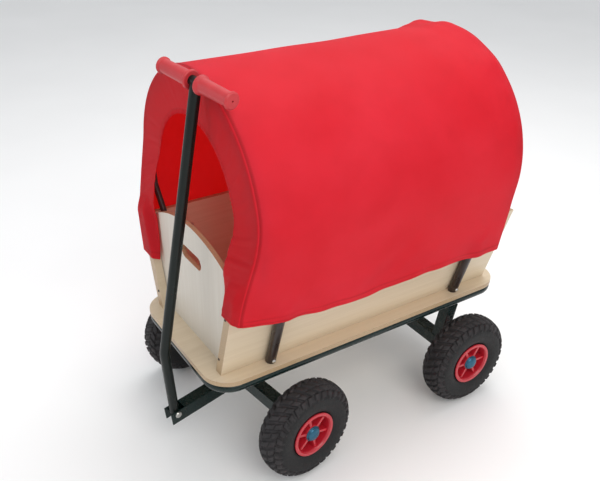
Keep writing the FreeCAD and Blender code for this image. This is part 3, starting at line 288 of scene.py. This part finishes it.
def nylon():
    """Red woven nylon that lets some light through, with seams, stitches and painted shade on the
    bands and in the front fold crease.
    """
    shader = Shader("cover_nylon")
    cloth = shader.node("ShaderNodeUVMap", uv_map="cloth").outputs[0]
    split = shader.node("ShaderNodeSeparateXYZ")
    shader.feed(split.inputs[0], cloth)
    across, along = split.outputs[0], split.outputs[1]
    threads = 2 * math.pi / THREAD_SPACING
    warp = shader.maths("SINE", shader.maths("MULTIPLY", across, threads))
    weft = shader.maths("SINE", shader.maths("MULTIPLY", along, threads))
    weave = shader.maths("MULTIPLY", warp, weft)
    slub = shader.noise(1.0, 2.0, 0.5, shader.stretched((60, 1400, 1), cloth))
    broad = shader.noise(3.5, 3.0, 0.5, cloth)
    fade = shader.noise(11.0, 4.0, 0.6, cloth)
    red = (0.74, 0.016, 0.036)
    light = (0.82, 0.036, 0.066)
    deep = (0.46, 0.004, 0.010)
    dark = (0.20, 0.004, 0.008)
    colour = shader.mix(shader.map_range(broad, 0.3, 0.7), red, light)
    colour = shader.mix(shader.map_range(fade, 0.45, 0.8, 0.0, 0.22), colour, deep)
    colour = shader.mix(shader.map_range(slub, 0.5, 0.8, 0.0, 0.12), colour, deep)
    # the bands turned in at the ends are darkened as painted shade
    band = shader.attribute("band")
    colour = shader.mix(shader.maths("MULTIPLY", band, 0.62), colour, deep)
    # the dark line along the front fold is painted shade in the crease there
    colour = shader.mix(shader.maths("MULTIPLY", shader.attribute("fold"), 0.9), colour, dark)
    stitch = shader.attribute("stitch")
    turns = shader.maths("MULTIPLY", shader.attribute("run"), 2 * math.pi / STITCH_LENGTH)
    dash = shader.map_range(shader.maths("SINE", turns), -0.3, 0.1)
    thread = shader.maths("MULTIPLY", stitch, dash)
    colour = shader.mix(shader.maths("MULTIPLY", stitch, 0.35), colour, deep)
    colour = shader.mix(shader.maths("MULTIPLY", thread, 0.75), colour, (0.30, 0.010, 0.014))
    shader.set(Base_Color=colour, Roughness=0.55, Sheen_Weight=0.08, Sheen_Roughness=0.40)
    shader.set(Sheen_Tint=(1.0, 0.45, 0.50), Specular_IOR_Level=0.22)
    soft = shader.noise(30.0, 5.0, 0.6, cloth)
    folds = shader.bump(soft, 0.16, 0.004)
    pulled = shader.bump(stitch, 0.45, -0.0008, folds)
    normal = shader.bump(shader.maths("ADD", weave, slub), 0.22, 0.00025, pulled)
    shader.set(Normal=normal)
    through = shader.node("ShaderNodeBsdfTranslucent")
    shader.feed(through.inputs["Color"], (1.0, 0.10, 0.075))
    blend = shader.node("ShaderNodeMixShader")
    blend.inputs[0].default_value = 0.50
    shader.tree.links.new(shader.surface.outputs[0], blend.inputs[1])
    shader.tree.links.new(through.outputs[0], blend.inputs[2])
    shader.tree.links.new(blend.outputs[0], shader.out.inputs["Surface"])
    return shader.material


# ---------------------------------------------------------------- geometry helpers


def smoothstep(value, low, high):
    t = np.clip((value - low) / (high - low), 0.0, 1.0)
    return t * t * (3 - 2 * t)


def ripple(value, seed, waves):
    """A smooth irregular line: a few sines with mixed phases, about -1 to 1."""
    random = np.random.default_rng(seed)
    total = 0.0
    weight = 0.0
    for length, share in waves:
        total = total + share * np.sin(2 * np.pi * value / length + random.uniform(0, 6.28))
        weight += share
    return total / weight


def mesh_object(name, points, faces, material, smooth=True):
    mesh = bpy.data.meshes.new(name)
    mesh.from_pydata([tuple(p) for p in points], [], faces)
    mesh.validate()
    mesh.materials.append(material)
    mesh.polygons.foreach_set("use_smooth", [smooth] * len(mesh.polygons))
    made = bpy.data.objects.new(name, mesh)
    bpy.context.scene.collection.objects.link(made)
    return made


def grid_faces(rows, columns, wrap_rows=False, wrap_columns=False):
    """Quads over a grid of points stored row by row."""
    faces = []
    for i in range(rows if wrap_rows else rows - 1):
        for j in range(columns if wrap_columns else columns - 1):
            k = (i + 1) % rows
            m = (j + 1) % columns
            near, far = i * columns, k * columns
            faces.append((near + j, near + m, far + m, far + j))
    return faces


def rounded(outline, radius, steps=5):
    """An open outline of (x, r) points with its inner corners rounded off."""
    points = [np.array(p, float) for p in outline]
    result = [points[0]]
    for before, corner, after in zip(points, points[1:], points[2:]):
        back = before - corner
        ahead = after - corner
        reach = min(radius, 0.45 * np.linalg.norm(back), 0.45 * np.linalg.norm(ahead))
        start = corner + back / np.linalg.norm(back) * reach
        end = corner + ahead / np.linalg.norm(ahead) * reach
        for t in np.linspace(0, 1, steps):
            result.append((1 - t) ** 2 * start + 2 * t * (1 - t) * corner + t * t * end)
    result.append(points[-1])
    return result


def lathe(outline, steps):
    """Points and faces of an (x, r) outline turned around the X axis."""
    points = []
    for x, r in outline:
        for k in range(steps):
            angle = 2 * math.pi * k / steps
            points.append((x, r * math.cos(angle), r * math.sin(angle)))
    return points, grid_faces(len(outline), steps, wrap_columns=True)


def add_attribute(thing, name, values):
    layer = thing.data.attributes.new(name, "FLOAT", "POINT")
    layer.data.foreach_set("value", np.asarray(values, dtype=np.float32).ravel())


def soften_edges(thing, width, segments=2):
    """A small bevel on sharp edges, so that they catch the light."""
    bevel = thing.modifiers.new("soft_edges", "BEVEL")
    bevel.width = width
    bevel.segments = segments
    bevel.limit_method = "ANGLE"
    bevel.angle_limit = math.radians(40)
    bevel.harden_normals = False


def repaint(node, material):
    """Give a CAD node a better material in its own slot."""
    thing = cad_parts[node]
    thing.data.materials.clear()
    thing.data.materials.append(material)
    return thing


# ---------------------------------------------------------------- wheels

TYRE_HALF = 0.0425
TYRE_OUTER = 0.130
TYRE_WAIST = 0.090
BEAD_RADIUS = 0.0575
BEAD_HALF = 0.0305
SECTION_END = 151  # degrees round the tyre section from the crown to the bead
LUG_DEPTH = 0.0052
LUG_PITCHES = 34
RIBS = 6
RIB_SIZE = (0.0275, 0.0072, 0.0285)
RIB_OUT = 0.0158
RIB_UP = 0.0350
# how far each wheel has rolled, in radians
ROLLED = {"front_right": 0.21, "front_left": 0.0, "rear_right": 0.48, "rear_left": 0.3}


def lug_mask(turn, across):
    """How much rubber stands up at a place on the tread, from 0 to 1."""
    pitch = turn * LUG_PITCHES / (2 * np.pi)
    total = np.zeros_like(turn)
    rows = (
        (-1.42, -0.80, 0.00, 0.62, 0.14),
        (-0.74, -0.30, 0.50, 0.66, -0.22),
        (-0.24, 0.24, 0.00, 0.60, 0.30),
        (0.30, 0.74, 0.50, 0.66, 0.22),
        (0.80, 1.42, 0.00, 0.62, -0.14),
    )
    for low, high, shift, share, slant in rows:
        middle = (low + high) / 2
        phase = pitch + shift + slant * (across - middle) / (high - low) * 2
        wave = np.abs((phase % 1.0) - 0.5) * 2
        block = smoothstep(wave, 1 - share - 0.07, 1 - share + 0.07)
        inside = smoothstep(across, low - 0.02, low + 0.03)
        inside = inside * (1 - smoothstep(across, high - 0.03, high + 0.02))
        if low < -0.8 or high > 0.8:
            longer = np.floor(phase) % 2
            reach = 1.40 - 0.16 * longer
            inside = inside * (1 - smoothstep(np.abs(across), reach - 0.05, reach + 0.03))
        total = np.maximum(total, block * inside)
    return total


def tyre_mesh(material):
    """A knobby tyre around the X axis: a round section, lugs and smooth walls."""
    turns = 646
    angles = np.radians(np.linspace(-SECTION_END, SECTION_END, 131))
    turn, section = np.meshgrid(2 * np.pi * np.arange(turns) / turns, angles, indexing="ij")
    power = 2 / 2.4
    side = np.sign(np.sin(section)) * np.abs(np.sin(section)) ** power
    rise = np.sign(np.cos(section)) * np.abs(np.cos(section)) ** power
    across = section / math.radians(52)
    lugs = lug_mask(turn, across)
    crown = 1 - smoothstep(np.abs(across), 1.15, 1.5)
    base = 1 - LUG_DEPTH / (TYRE_OUTER - TYRE_WAIST) * (0.35 + 0.65 * crown)
    height = base + (1 - base) * lugs
    wall = np.abs(section) > math.radians(80)
    ridge = np.exp(-(((np.abs(section) - math.radians(128)) / 0.035) ** 2))
    height = height + 0.018 * ridge * wall
    half = TYRE_HALF * (height - 0.004)
    depth = (TYRE_OUTER - TYRE_WAIST) * height
    x = half * side
    radius = TYRE_WAIST + depth * rise
    foot = smoothstep(np.abs(section), math.radians(118), math.radians(SECTION_END))
    radius = radius * (1 - foot) + np.maximum(radius, BEAD_RADIUS) * foot
    x = x * (1 - foot) + np.sign(x) * np.maximum(np.abs(x), BEAD_HALF) * foot
    points = np.stack([x, radius * np.cos(turn), radius * np.sin(turn)], -1).reshape(-1, 3)
    faces = grid_faces(turns, len(angles), wrap_rows=True)
    thing = mesh_object("tyre", points, faces, material)
    add_attribute(thing, "tread", 1 - smoothstep(np.abs(across), 1.2, 1.5))
    return thing


RIM_OUTLINE = [
    (0.0375, 0.0530),
    (0.0375, 0.0610),
    (0.0325, 0.0610),
    (0.0310, 0.0530),
    (-0.0310, 0.0530),
    (-0.0325, 0.0610),
    (-0.0375, 0.0610),
    (-0.0375, 0.0530),
    (-0.0330, 0.0500),
    (-0.0025, 0.0470),
    (-0.0025, 0.0225),
    (-0.0300, 0.0220),
    (-0.0300, 0.0085),
    (0.0300, 0.0085),
    (0.0300, 0.0220),
    (0.0025, 0.0225),
    (0.0025, 0.0470),
    (0.0330, 0.0500),
    (0.0375, 0.0530),
]


def rim_mesh(material):
    """A moulded rim: a ring with round flanges, a web, a hub and ribs on both faces."""
    points, faces = lathe(rounded(RIM_OUTLINE, 0.0026), 112)
    shape = bmesh.new()
    for sign in (1, -1):
        for k in range(RIBS):
            angle = math.radians(360 / RIBS * k)
            rib = bmesh.ops.create_cube(shape, size=1.0)["verts"]
            size = Matrix.Diagonal((*RIB_SIZE, 1))
            out = Matrix.Translation((sign * RIB_OUT, 0, RIB_UP))
            place = Matrix.Rotation(angle, 4, "X") @ out
            for vert in rib:
                taper = 1 + 0.35 * (0.5 - sign * vert.co.x)
                vert.co.y *= taper
                vert.co = place @ size @ vert.co
    bmesh.ops.bevel(
        shape, geom=list(shape.edges), offset=0.0012, segments=3, affect="EDGES", profile=0.6
    )
    start = len(points)
    shape.verts.index_update()
    points += [tuple(v.co) for v in shape.verts]
    faces += [tuple(start + v.index for v in f.verts) for f in shape.faces]
    shape.free()
    return mesh_object("rim", points, faces, material)


def cap_mesh(material):
    """A pressed dome over the end of the axle, with a rolled lip."""
    outline = [(0.0300, 0.0208), (0.0318, 0.0208), (0.0326, 0.0190)]
    for t in np.linspace(0.05, 1.0, 14):
        angle = t * math.pi / 2
        outline.append((0.0326 + 0.0090 * math.sin(angle), 0.0186 * math.cos(angle) + 0.0001))
    points, faces = lathe(rounded(outline, 0.0008, 3), 64)
    return mesh_object("hub_cap", points, faces, material)


def make_wheels():
    rubber = tyre_rubber()
    red = moulded("rim_plastic", (0.50, 0.014, 0.028), 0.32, 0.25)
    blue = Shader("cap_metal")
    haze = blue.noise(60.0, 3.0)
    blue.set(Base_Color=blue.mix(haze, (0.018, 0.085, 0.150), (0.045, 0.150, 0.225)))
    blue.set(Metallic=0.75, Roughness=blue.map_range(haze, 0.3, 0.7, 0.20, 0.36))
    blue.set(Normal=blue.bump(blue.noise(300.0), 0.06, 0.0004))
    forms = {
        "tyre": tyre_mesh(rubber),
        "rim": rim_mesh(red),
        "hub_cap": cap_mesh(blue.material),
    }
    for end in ("front", "rear"):
        for side in SIDES:
            low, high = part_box(f"tyre_{end}_{side}")
            centre = (Vector(low) + Vector(high)) / 2
            turn = STEER if end == "front" else 0.0
            if side == "left":
                turn += math.pi
            place = Matrix.Translation(centre) @ Matrix.Rotation(turn, 4, "Z")
            roll = Matrix.Rotation(ROLLED[f"{end}_{side}"], 4, "X")
            for kind, form in forms.items():
                mesh = form.data.copy()
                mesh.transform(roll)
                piece = bpy.data.objects.new(f"{kind}_{end}_{side}_look", mesh)
                bpy.context.scene.collection.objects.link(piece)
                piece.matrix_world = place
                bpy.context.view_layer.update()
                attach(piece, f"wheel_{end}_{side}")
                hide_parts(f"{kind}_{end}_{side}")
    for form in forms.values():
        bpy.data.objects.remove(form)


# ---------------------------------------------------------------- cover

COVER_RADIUS = 0.2922
COVER_CENTRE = 0.695
TURN_IN = math.radians(9)
FRONT_FOLD = -0.3805
REAR_FOLD = 0.3735
BAND_WIDTH = 0.107
FOLD_ROUND = 0.004
CLOTH_THICKNESS = 0.0009
HEM_STITCHES = (0.0055, 0.0165)  # above the hem
FRONT_BAND_REST = -0.4268  # where the band lies on the ends of the side panels
# where the cloth puffs up near the rear: place along the wagon, reach and share
PUFFS = ((0.345, 0.020, 1.0), (0.312, 0.018, 0.45))


def front_edge(z):
    """Where the front fold lies at a height: it leans forward over the panel corners."""
    return FRONT_FOLD - 0.040 * smoothstep(0.76 - z, 0.0, 0.27)


def hem_height(share, side):
    """The height of the hem, from the front corner to the rear corner, on either side."""
    corner = 0.043 if side > 0 else -0.006
    front = corner * np.exp(-share / 0.13)
    wave = 0.004 * np.sin(2 * np.pi * (share * 1.7 + 0.08)) + 0.0015 * np.sin(share * 41)
    return 0.4525 + front + wave * smoothstep(share, 0.0, 0.2)


def cover_path(samples):
    """For each column: how far in it lies, how far back, and which part it is on.

    The part is -1 on the front band, 0 on the barrel and 1 on the rear band.
    """
    inset = []
    back = []
    kind = []
    band = np.linspace(1, 0, 30)[:-1]
    for t in band:
        inset.append(FOLD_ROUND + t * (BAND_WIDTH - FOLD_ROUND))
        back.append(0.0)
        kind.append(-1.0)
    for angle in np.linspace(0, math.pi / 2, 6)[:-1]:
        inset.append(FOLD_ROUND * (1 - math.sin(angle)))
        back.append(0.0)
        kind.append(-1.0 + angle / (math.pi / 2))
    for t in np.linspace(0, 1, samples):
        inset.append(0.0)
        back.append(t)
        kind.append(0.0)
    for angle in np.linspace(0, math.pi / 2, 6)[1:]:
        inset.append(FOLD_ROUND * (1 - math.cos(angle)))
        back.append(1.0)
        kind.append(angle / (math.pi / 2))
    for t in band[::-1]:
        inset.append(FOLD_ROUND + t * (BAND_WIDTH - FOLD_ROUND))
        back.append(1.0)
        kind.append(1.0)
    return np.array(inset), np.array(back), np.array(kind)


def make_cover():
    """One sheet: the barrel, with a gathered band turned inward at each end."""
    inset, back, kind = cover_path(100)
    flap_rows = 62
    arc_rows = 330
    flap = np.linspace(0, 1, flap_rows)[:-1]
    shoulder_x = COVER_RADIUS * math.cos(TURN_IN)
    shoulder_z = COVER_CENTRE - COVER_RADIUS * math.sin(TURN_IN)
    arc = np.linspace(-TURN_IN, math.pi + TURN_IN, arc_rows)
    rows = 2 * len(flap) + arc_rows
    columns = len(inset)

    hems = {sign: hem_height(back, sign) for sign in SIDES.values()}
    x = np.zeros((rows, columns))
    z = np.zeros((rows, columns))
    out_x = np.zeros((rows, columns))
    out_z = np.zeros((rows, columns))
    for i, t in enumerate(flap):
        level = 1 - smoothstep(t, 0.0, 0.75)
        for row, sign in ((i, 1), (rows - 1 - i, -1)):
            fall = (1 - t) * (shoulder_z - hems[sign])
            x[row] = sign * (shoulder_x - fall * math.tan(TURN_IN))
            z[row] = shoulder_z - fall
            out_x[row] = sign * math.cos(TURN_IN)
            out_z[row] = -math.sin(TURN_IN) * (1 - level) + 0.03 * level
    for i, angle in enumerate(arc):
        row = len(flap) + i
        x[row] = COVER_RADIUS * math.cos(angle)
        z[row] = COVER_CENTRE + COVER_RADIUS * math.sin(angle)
        out_x[row] = math.cos(angle)
        out_z[row] = math.sin(angle)
    middle = int(np.argmin(np.abs(back - 0.5)))
    steps = np.hypot(np.diff(x[:, middle]), np.diff(z[:, middle]))
    length = np.concatenate([[0], np.cumsum(steps)])
    run = np.repeat(length[:, None], columns, axis=1)

    height = z.copy()
    side = np.sign(x)
    hem = np.where(side > 0, hems[1][None, :], hems[-1][None, :])
    low = smoothstep(shoulder_z - height, 0.0, 0.16)
    top = smoothstep(height, COVER_CENTRE - 0.02, COVER_CENTRE + 0.22)

    # the front band is narrower down the sides, and the rear one is a mere fold beside the panels
    width = 1 - 0.12 * smoothstep(0.80 - height, 0.0, 0.14)
    width = width - 0.06 * smoothstep(0.60 - height, 0.0, 0.14)
    rear = kind[None, :] > 0.5
    taper = 0.16 + 0.84 * smoothstep(height, 0.560, 0.625)
    width = np.where(rear, taper, width)
    inward = inset[None, :] * width
    x = x - out_x * inward
    z = z - out_z * inward

    front_y = front_edge(height)
    y = front_y + FOLD_ROUND + (REAR_FOLD - 2 * FOLD_ROUND - front_y) * back[None, :]
    front_turn = np.clip(-kind, 0, 1)[None, :]
    rear_turn = np.clip(kind, 0, 1)[None, :]
    y = y - FOLD_ROUND * np.sin(front_turn * math.pi / 2)
    y = y + FOLD_ROUND * np.sin(rear_turn * math.pi / 2)

    # the front band lies over the ends of the side panels and tucks in beside the battens
    on_front = (kind < -0.5)[None, :] * smoothstep(inward, 0.002, 0.020)
    batten_x = 0.151 + 0.3 * (z - DECK_TOP)
    tucked = smoothstep(batten_x - np.abs(x), 0.004, 0.032)
    rest_y = FRONT_BAND_REST + 0.0215 * tucked
    over = 1 - smoothstep(z, 0.552, 0.610)
    y = y + (rest_y - y) * on_front * over

    # gathers across the bands
    share = inward / BAND_WIDTH
    gather = ripple(run + 0.55 * inward, 3, ((0.034, 1.0), (0.023, 0.55), (0.061, 0.7)))
    patchy = 0.55 + 0.45 * ripple(run, 8, ((0.21, 1.0), (0.37, 0.8)))
    belly = np.sin(np.pi * np.clip(share, 0, 1)) ** 0.8
    amount = 0.0046 * patchy * belly * (0.45 + 0.40 * side.clip(0, 1) + 0.2 * low)
    amount = amount * (0.2 + 0.8 * smoothstep(0.86 - height, 0.0, 0.14))
    casing = smoothstep(share, 0.90, 0.96)
    scallop = ripple(run, 5, ((0.0125, 1.0), (0.0170, 0.5)))
    gathers = gather * amount + 0.0014 * scallop * casing
    on_rear = rear_turn * smoothstep(inward, 0.004, 0.02)
    free = 1 - on_front * over * 0.8
    y = y + gathers * free * np.where(kind[None, :] < -0.5, 1.0, 0.0)
    y = y + (0.0022 * gather * patchy) * on_rear * smoothstep(height, 0.58, 0.66)
    roll = 0.0016 * scallop * casing
    x = x - out_x * roll
    z = z - out_z * roll

    # the barrel: a light sag between the hoops, soft folds, and a puffed rear rim
    barrel = 1 - smoothstep(np.abs(kind), 0.0, 0.4)[None, :]
    along = back[None, :]
    span = np.sin(np.pi * np.clip((along - 0.03) / 0.94, 0, 1))
    swell = ripple(run + 0.35 * y, 11, ((0.31, 1.0), (0.47, 0.9), (0.17, 0.35)))
    swell2 = ripple(y + 0.22 * run, 17, ((0.23, 1.0), (0.39, 0.8)))
    puff = sum(share * np.exp(-(((y - place) / reach) ** 2)) for place, reach, share in PUFFS)
    puffy = 0.65 + 0.35 * ripple(run, 21, ((0.15, 1.0), (0.093, 0.6)))
    radial = -0.0022 * span * top + 0.0011 * swell * span + 0.0010 * swell2 * span
    radial = radial + (0.0115 * top + 0.0022) * puff * puffy
    crease = np.exp(-(((along - 0.008) / 0.010) ** 2))
    radial = radial + 0.0012 * crease
    # the hanging sides are looser
    loose = low * span
    diagonal = ripple(y - 0.9 * (height - 0.5), 31, ((0.16, 1.0), (0.105, 0.7), (0.27, 0.7)))
    radial = radial + 0.0026 * diagonal * loose
    edge = smoothstep(0.05 - (height - hem), 0.0, 0.05)
    wavy = ripple(y, 37, ((0.13, 1.0), (0.21, 0.9), (0.071, 0.4)))
    radial = radial + 0.0032 * wavy * edge * smoothstep(along, 0.02, 0.12)
    # the cloth is pushed out over the side posts
    for place in POST_PLACES:
        near = np.exp(-(((y - place) / 0.020) ** 2))
        tented = np.exp(-((np.clip(height - 0.497, 0, None) / 0.022) ** 2))
        radial = radial + 0.0042 * near * tented * low
        fold = np.exp(-(((y - place - 0.25 * (height - 0.51)) / 0.007) ** 2))
        rising = smoothstep(height, 0.498, 0.508) * (1 - smoothstep(height, 0.515, 0.560))
        radial = radial - 0.0024 * fold * rising
    # a doubled hem stands a little proud
    hem_gap = height - hem
    doubled = 1 - smoothstep(hem_gap, 0.0185, 0.0205)
    radial = radial + 0.0008 * doubled
    x = x + out_x * radial * barrel
    z = z + out_z * radial * barrel

    points = np.stack([x, y, z], -1).reshape(-1, 3)
    thing = mesh_object("cover_cloth", points, grid_faces(rows, columns), nylon())
    thing.data.flip_normals()
    uv = thing.data.uv_layers.new(name="cloth")
    along_cloth = y - np.sign(kind)[None, :] * inward
    flat = np.stack([run, along_cloth], -1).reshape(-1, 2)
    indices = np.zeros(len(thing.data.loops), dtype=np.int32)
    thing.data.loops.foreach_get("vertex_index", indices)
    uv.data.foreach_set("uv", flat[indices].astype(np.float32).ravel())
    lines = np.zeros_like(x)
    seam_run = np.where(hem_gap < 0.03, y, run)
    for gap in HEM_STITCHES:
        lines = np.maximum(lines, np.exp(-(((hem_gap - gap) / 0.0011) ** 2)))
    fold_gap = (y - front_y - FOLD_ROUND) * barrel + (1 - barrel)
    # stitches run along the seam behind the front fold, and the fold attribute darkens the same
    # line as painted crease shade
    seam_and_crease_shade = np.exp(-(((fold_gap - 0.002) / 0.0030) ** 2)) * barrel
    lines = np.maximum(lines, seam_and_crease_shade)
    lines = np.maximum(lines, np.exp(-(((share - 0.90) / 0.014) ** 2)) * (kind[None, :] < -0.5))
    add_attribute(thing, "stitch", lines)
    add_attribute(thing, "run", seam_run)
    add_attribute(thing, "fold", seam_and_crease_shade)
    # the band attribute marks the turned-in bands, which the cloth darkens as painted shade
    add_attribute(thing, "band", np.where(np.abs(kind)[None, :] > 0.5, 1.0, 0.0) + 0 * x)
    skin = thing.modifiers.new("cloth_thickness", "SOLIDIFY")
    skin.thickness = CLOTH_THICKNESS
    skin.offset = -1.0
    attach(thing, "chassis")
    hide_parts("cover_barrel", "cover_front_band", "cover_rear_band")


# ---------------------------------------------------------------- handle


def make_grips():
    """Soft vinyl on the CAD grips, which have a wide flange beside the pole and a smaller one at
    the end.
    """
    vinyl = moulded("grip_vinyl", (0.52, 0.024, 0.032), 0.46, 0.08, 640.0)
    for side in SIDES:
        soften_edges(repaint(f"grip_{side}", vinyl), 0.0012, 3)


# ---------------------------------------------------------------- the other CAD nodes


def finish_cad_nodes():
    frame_paint = paint("frame_paint", (0.0030, 0.0120, 0.0108), 0.24, 0.20)
    post_paint = paint("post_paint", (0.020, 0.0125, 0.0105), 0.30)
    hoop_paint = paint("hoop_paint", (0.03, 0.03, 0.03), 0.35)
    handle_paint = paint("handle_paint", (0.0022, 0.0052, 0.0042), 0.32, 0.04)
    screw_black = paint("screw_black", (0.020, 0.017, 0.015), 0.40, 0.10)
    zinc = plated_steel("zinc_steel")
    across = (1, 0.035, 1)
    lean_x = math.cos(SIDE_LEAN)
    lean_z = math.sin(SIDE_LEAN)
    start = SIDE_FOOT * lean_x - DECK_TOP * lean_z
    deck = plywood("deck_plywood", (0, 0, 1), DECK_TOP - DECK_THICKNESS, across, 0.35)
    boards = {}
    for side, sign in SIDES.items():
        normal = (sign * lean_x, 0, -lean_z)
        boards[side] = plywood(f"panel_plywood_{side}", normal, start, across)
        for end in ("front", "rear"):
            node = repaint(f"batten_{end}_{side}", boards[side])
            soften_edges(node, 0.0006)
        soften_edges(repaint(f"side_panel_{side}", boards[side]), 0.0010)
    upright = (1, 1, 0.035)
    # the front panel's veneer is tinted cool blue-grey as painted shade, for the shaded front end
    for end, shade_tint in (("front", (0.93, 1.03, 1.24)), ("rear", (1, 1, 1))):
        low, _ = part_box(f"{end}_panel")
        board = plywood(f"{end}_plywood", (0, 1, 0), low[1], upright, 0.12, shade_tint)
        soften_edges(repaint(f"{end}_panel", board), 0.0012)
    soften_edges(repaint("deck_board", deck), 0.0014, 3)
    for name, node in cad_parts.items():
        if name.startswith(("frame_", "cross_tube", "rear_leg", "pivot", "turntable", "steering")):
            repaint(name, frame_paint)
        elif name in ("rear_axle_beam", "front_axle_beam", "drawbar"):
            soften_edges(repaint(name, frame_paint), 0.0012)
        elif name in ("pull_pole", "hinge_sleeve", "grip_bar"):
            repaint(name, handle_paint)
        elif name.startswith("side_post"):
            soften_edges(repaint(name, post_paint), 0.0006)
        elif name.startswith("hoop_"):
            repaint(name, hoop_paint)
        elif name == "batten_screws":
            repaint(name, screw_black)
        elif name in ("post_bolts", "handle_pin", "kingpin", "kingpin_nut"):
            repaint(name, zinc)
        elif name.endswith("axle_rod"):
            repaint(name, zinc)


# ---------------------------------------------------------------- stage

FLOOR_REACH = 9.0
CAMERA_PLACE = (1.4442, -1.0425, 1.4606)
CAMERA_FORWARD = (-0.7275, 0.4797, -0.4905)
CAMERA_ROLL = math.radians(0.85)
CAMERA_LENS = 45.70


def soft_light(name, place, target, size, power, colour):
    data = bpy.data.lights.new(name, "AREA")
    data.shape = "RECTANGLE"
    data.size, data.size_y = size
    data.energy = power
    data.color = colour
    lamp = bpy.data.objects.new(name, data)
    bpy.context.scene.collection.objects.link(lamp)
    lamp.location = place
    lamp.rotation_euler = (Vector(target) - Vector(place)).to_track_quat("-Z", "Y").to_euler()


def make_stage():
    scene = bpy.context.scene
    floor_shader = Shader("floor_paper")
    tone = floor_shader.noise(1.3, 2.0)
    floor_shader.set(Base_Color=floor_shader.ramp(tone, (0.3, 0.90), (0.7, 0.93)))
    floor_shader.set(Roughness=0.7, Specular_IOR_Level=0.2)
    floor_shader.set(Normal=floor_shader.bump(floor_shader.noise(500.0), 0.05, 0.0005))
    turns = ((-1, -1), (1, -1), (1, 1), (-1, 1))
    corners = [(FLOOR_REACH * a, FLOOR_REACH * b, 0) for a, b in turns]
    floor = mesh_object("floor", corners, [(0, 1, 2, 3)], floor_shader.material, smooth=False)

    world = bpy.data.worlds.new("studio")
    scene.world = world
    world.use_nodes = True
    tree = world.node_tree
    sky = tree.nodes["Background"]
    sky.inputs["Color"].default_value = (0.96, 0.98, 1.0, 1.0)
    sky.inputs["Strength"].default_value = 0.66
    seen = tree.nodes.new("ShaderNodeBackground")
    seen.inputs["Color"].default_value = (1.0, 1.0, 1.0, 1.0)
    ray = tree.nodes.new("ShaderNodeLightPath")
    choose = tree.nodes.new("ShaderNodeMixShader")
    tree.links.new(ray.outputs["Is Camera Ray"], choose.inputs[0])
    tree.links.new(sky.outputs[0], choose.inputs[1])
    tree.links.new(seen.outputs[0], choose.inputs[2])
    tree.links.new(choose.outputs[0], tree.nodes["World Output"].inputs["Surface"])
    middle = (0, 0, 0.55)
    soft_light("key_light", (2.6, -0.4, 2.6), middle, (2.2, 2.2), 46, (1.0, 0.97, 0.93))
    soft_light("top_light", (-0.5, 0.9, 3.4), (0, 0, 0.8), (2.6, 2.6), 60, (1.0, 0.99, 0.98))
    soft_light("front_light", (-0.8, -3.0, 1.6), middle, (1.8, 1.8), 14, (0.90, 0.95, 1.0))
    scene.view_settings.view_transform = "Standard"
    scene.view_settings.look = "None"

    data = bpy.data.cameras.new("camera")
    camera = bpy.data.objects.new("camera", data)
    scene.collection.objects.link(camera)
    scene.camera = camera
    data.lens = CAMERA_LENS
    data.sensor_width = 36
    forward = Vector(CAMERA_FORWARD).normalized()
    level = forward.cross(Vector((0, 0, 1))).normalized()
    up = level.cross(forward)
    right = math.cos(CAMERA_ROLL) * level + math.sin(CAMERA_ROLL) * up
    up = -math.sin(CAMERA_ROLL) * level + math.cos(CAMERA_ROLL) * up
    pose = Matrix((right, up, -forward)).transposed().to_4x4()
    pose.translation = CAMERA_PLACE
    camera.matrix_world = pose


finish_cad_nodes()
make_wheels()
make_grips()
make_cover()
make_stage()
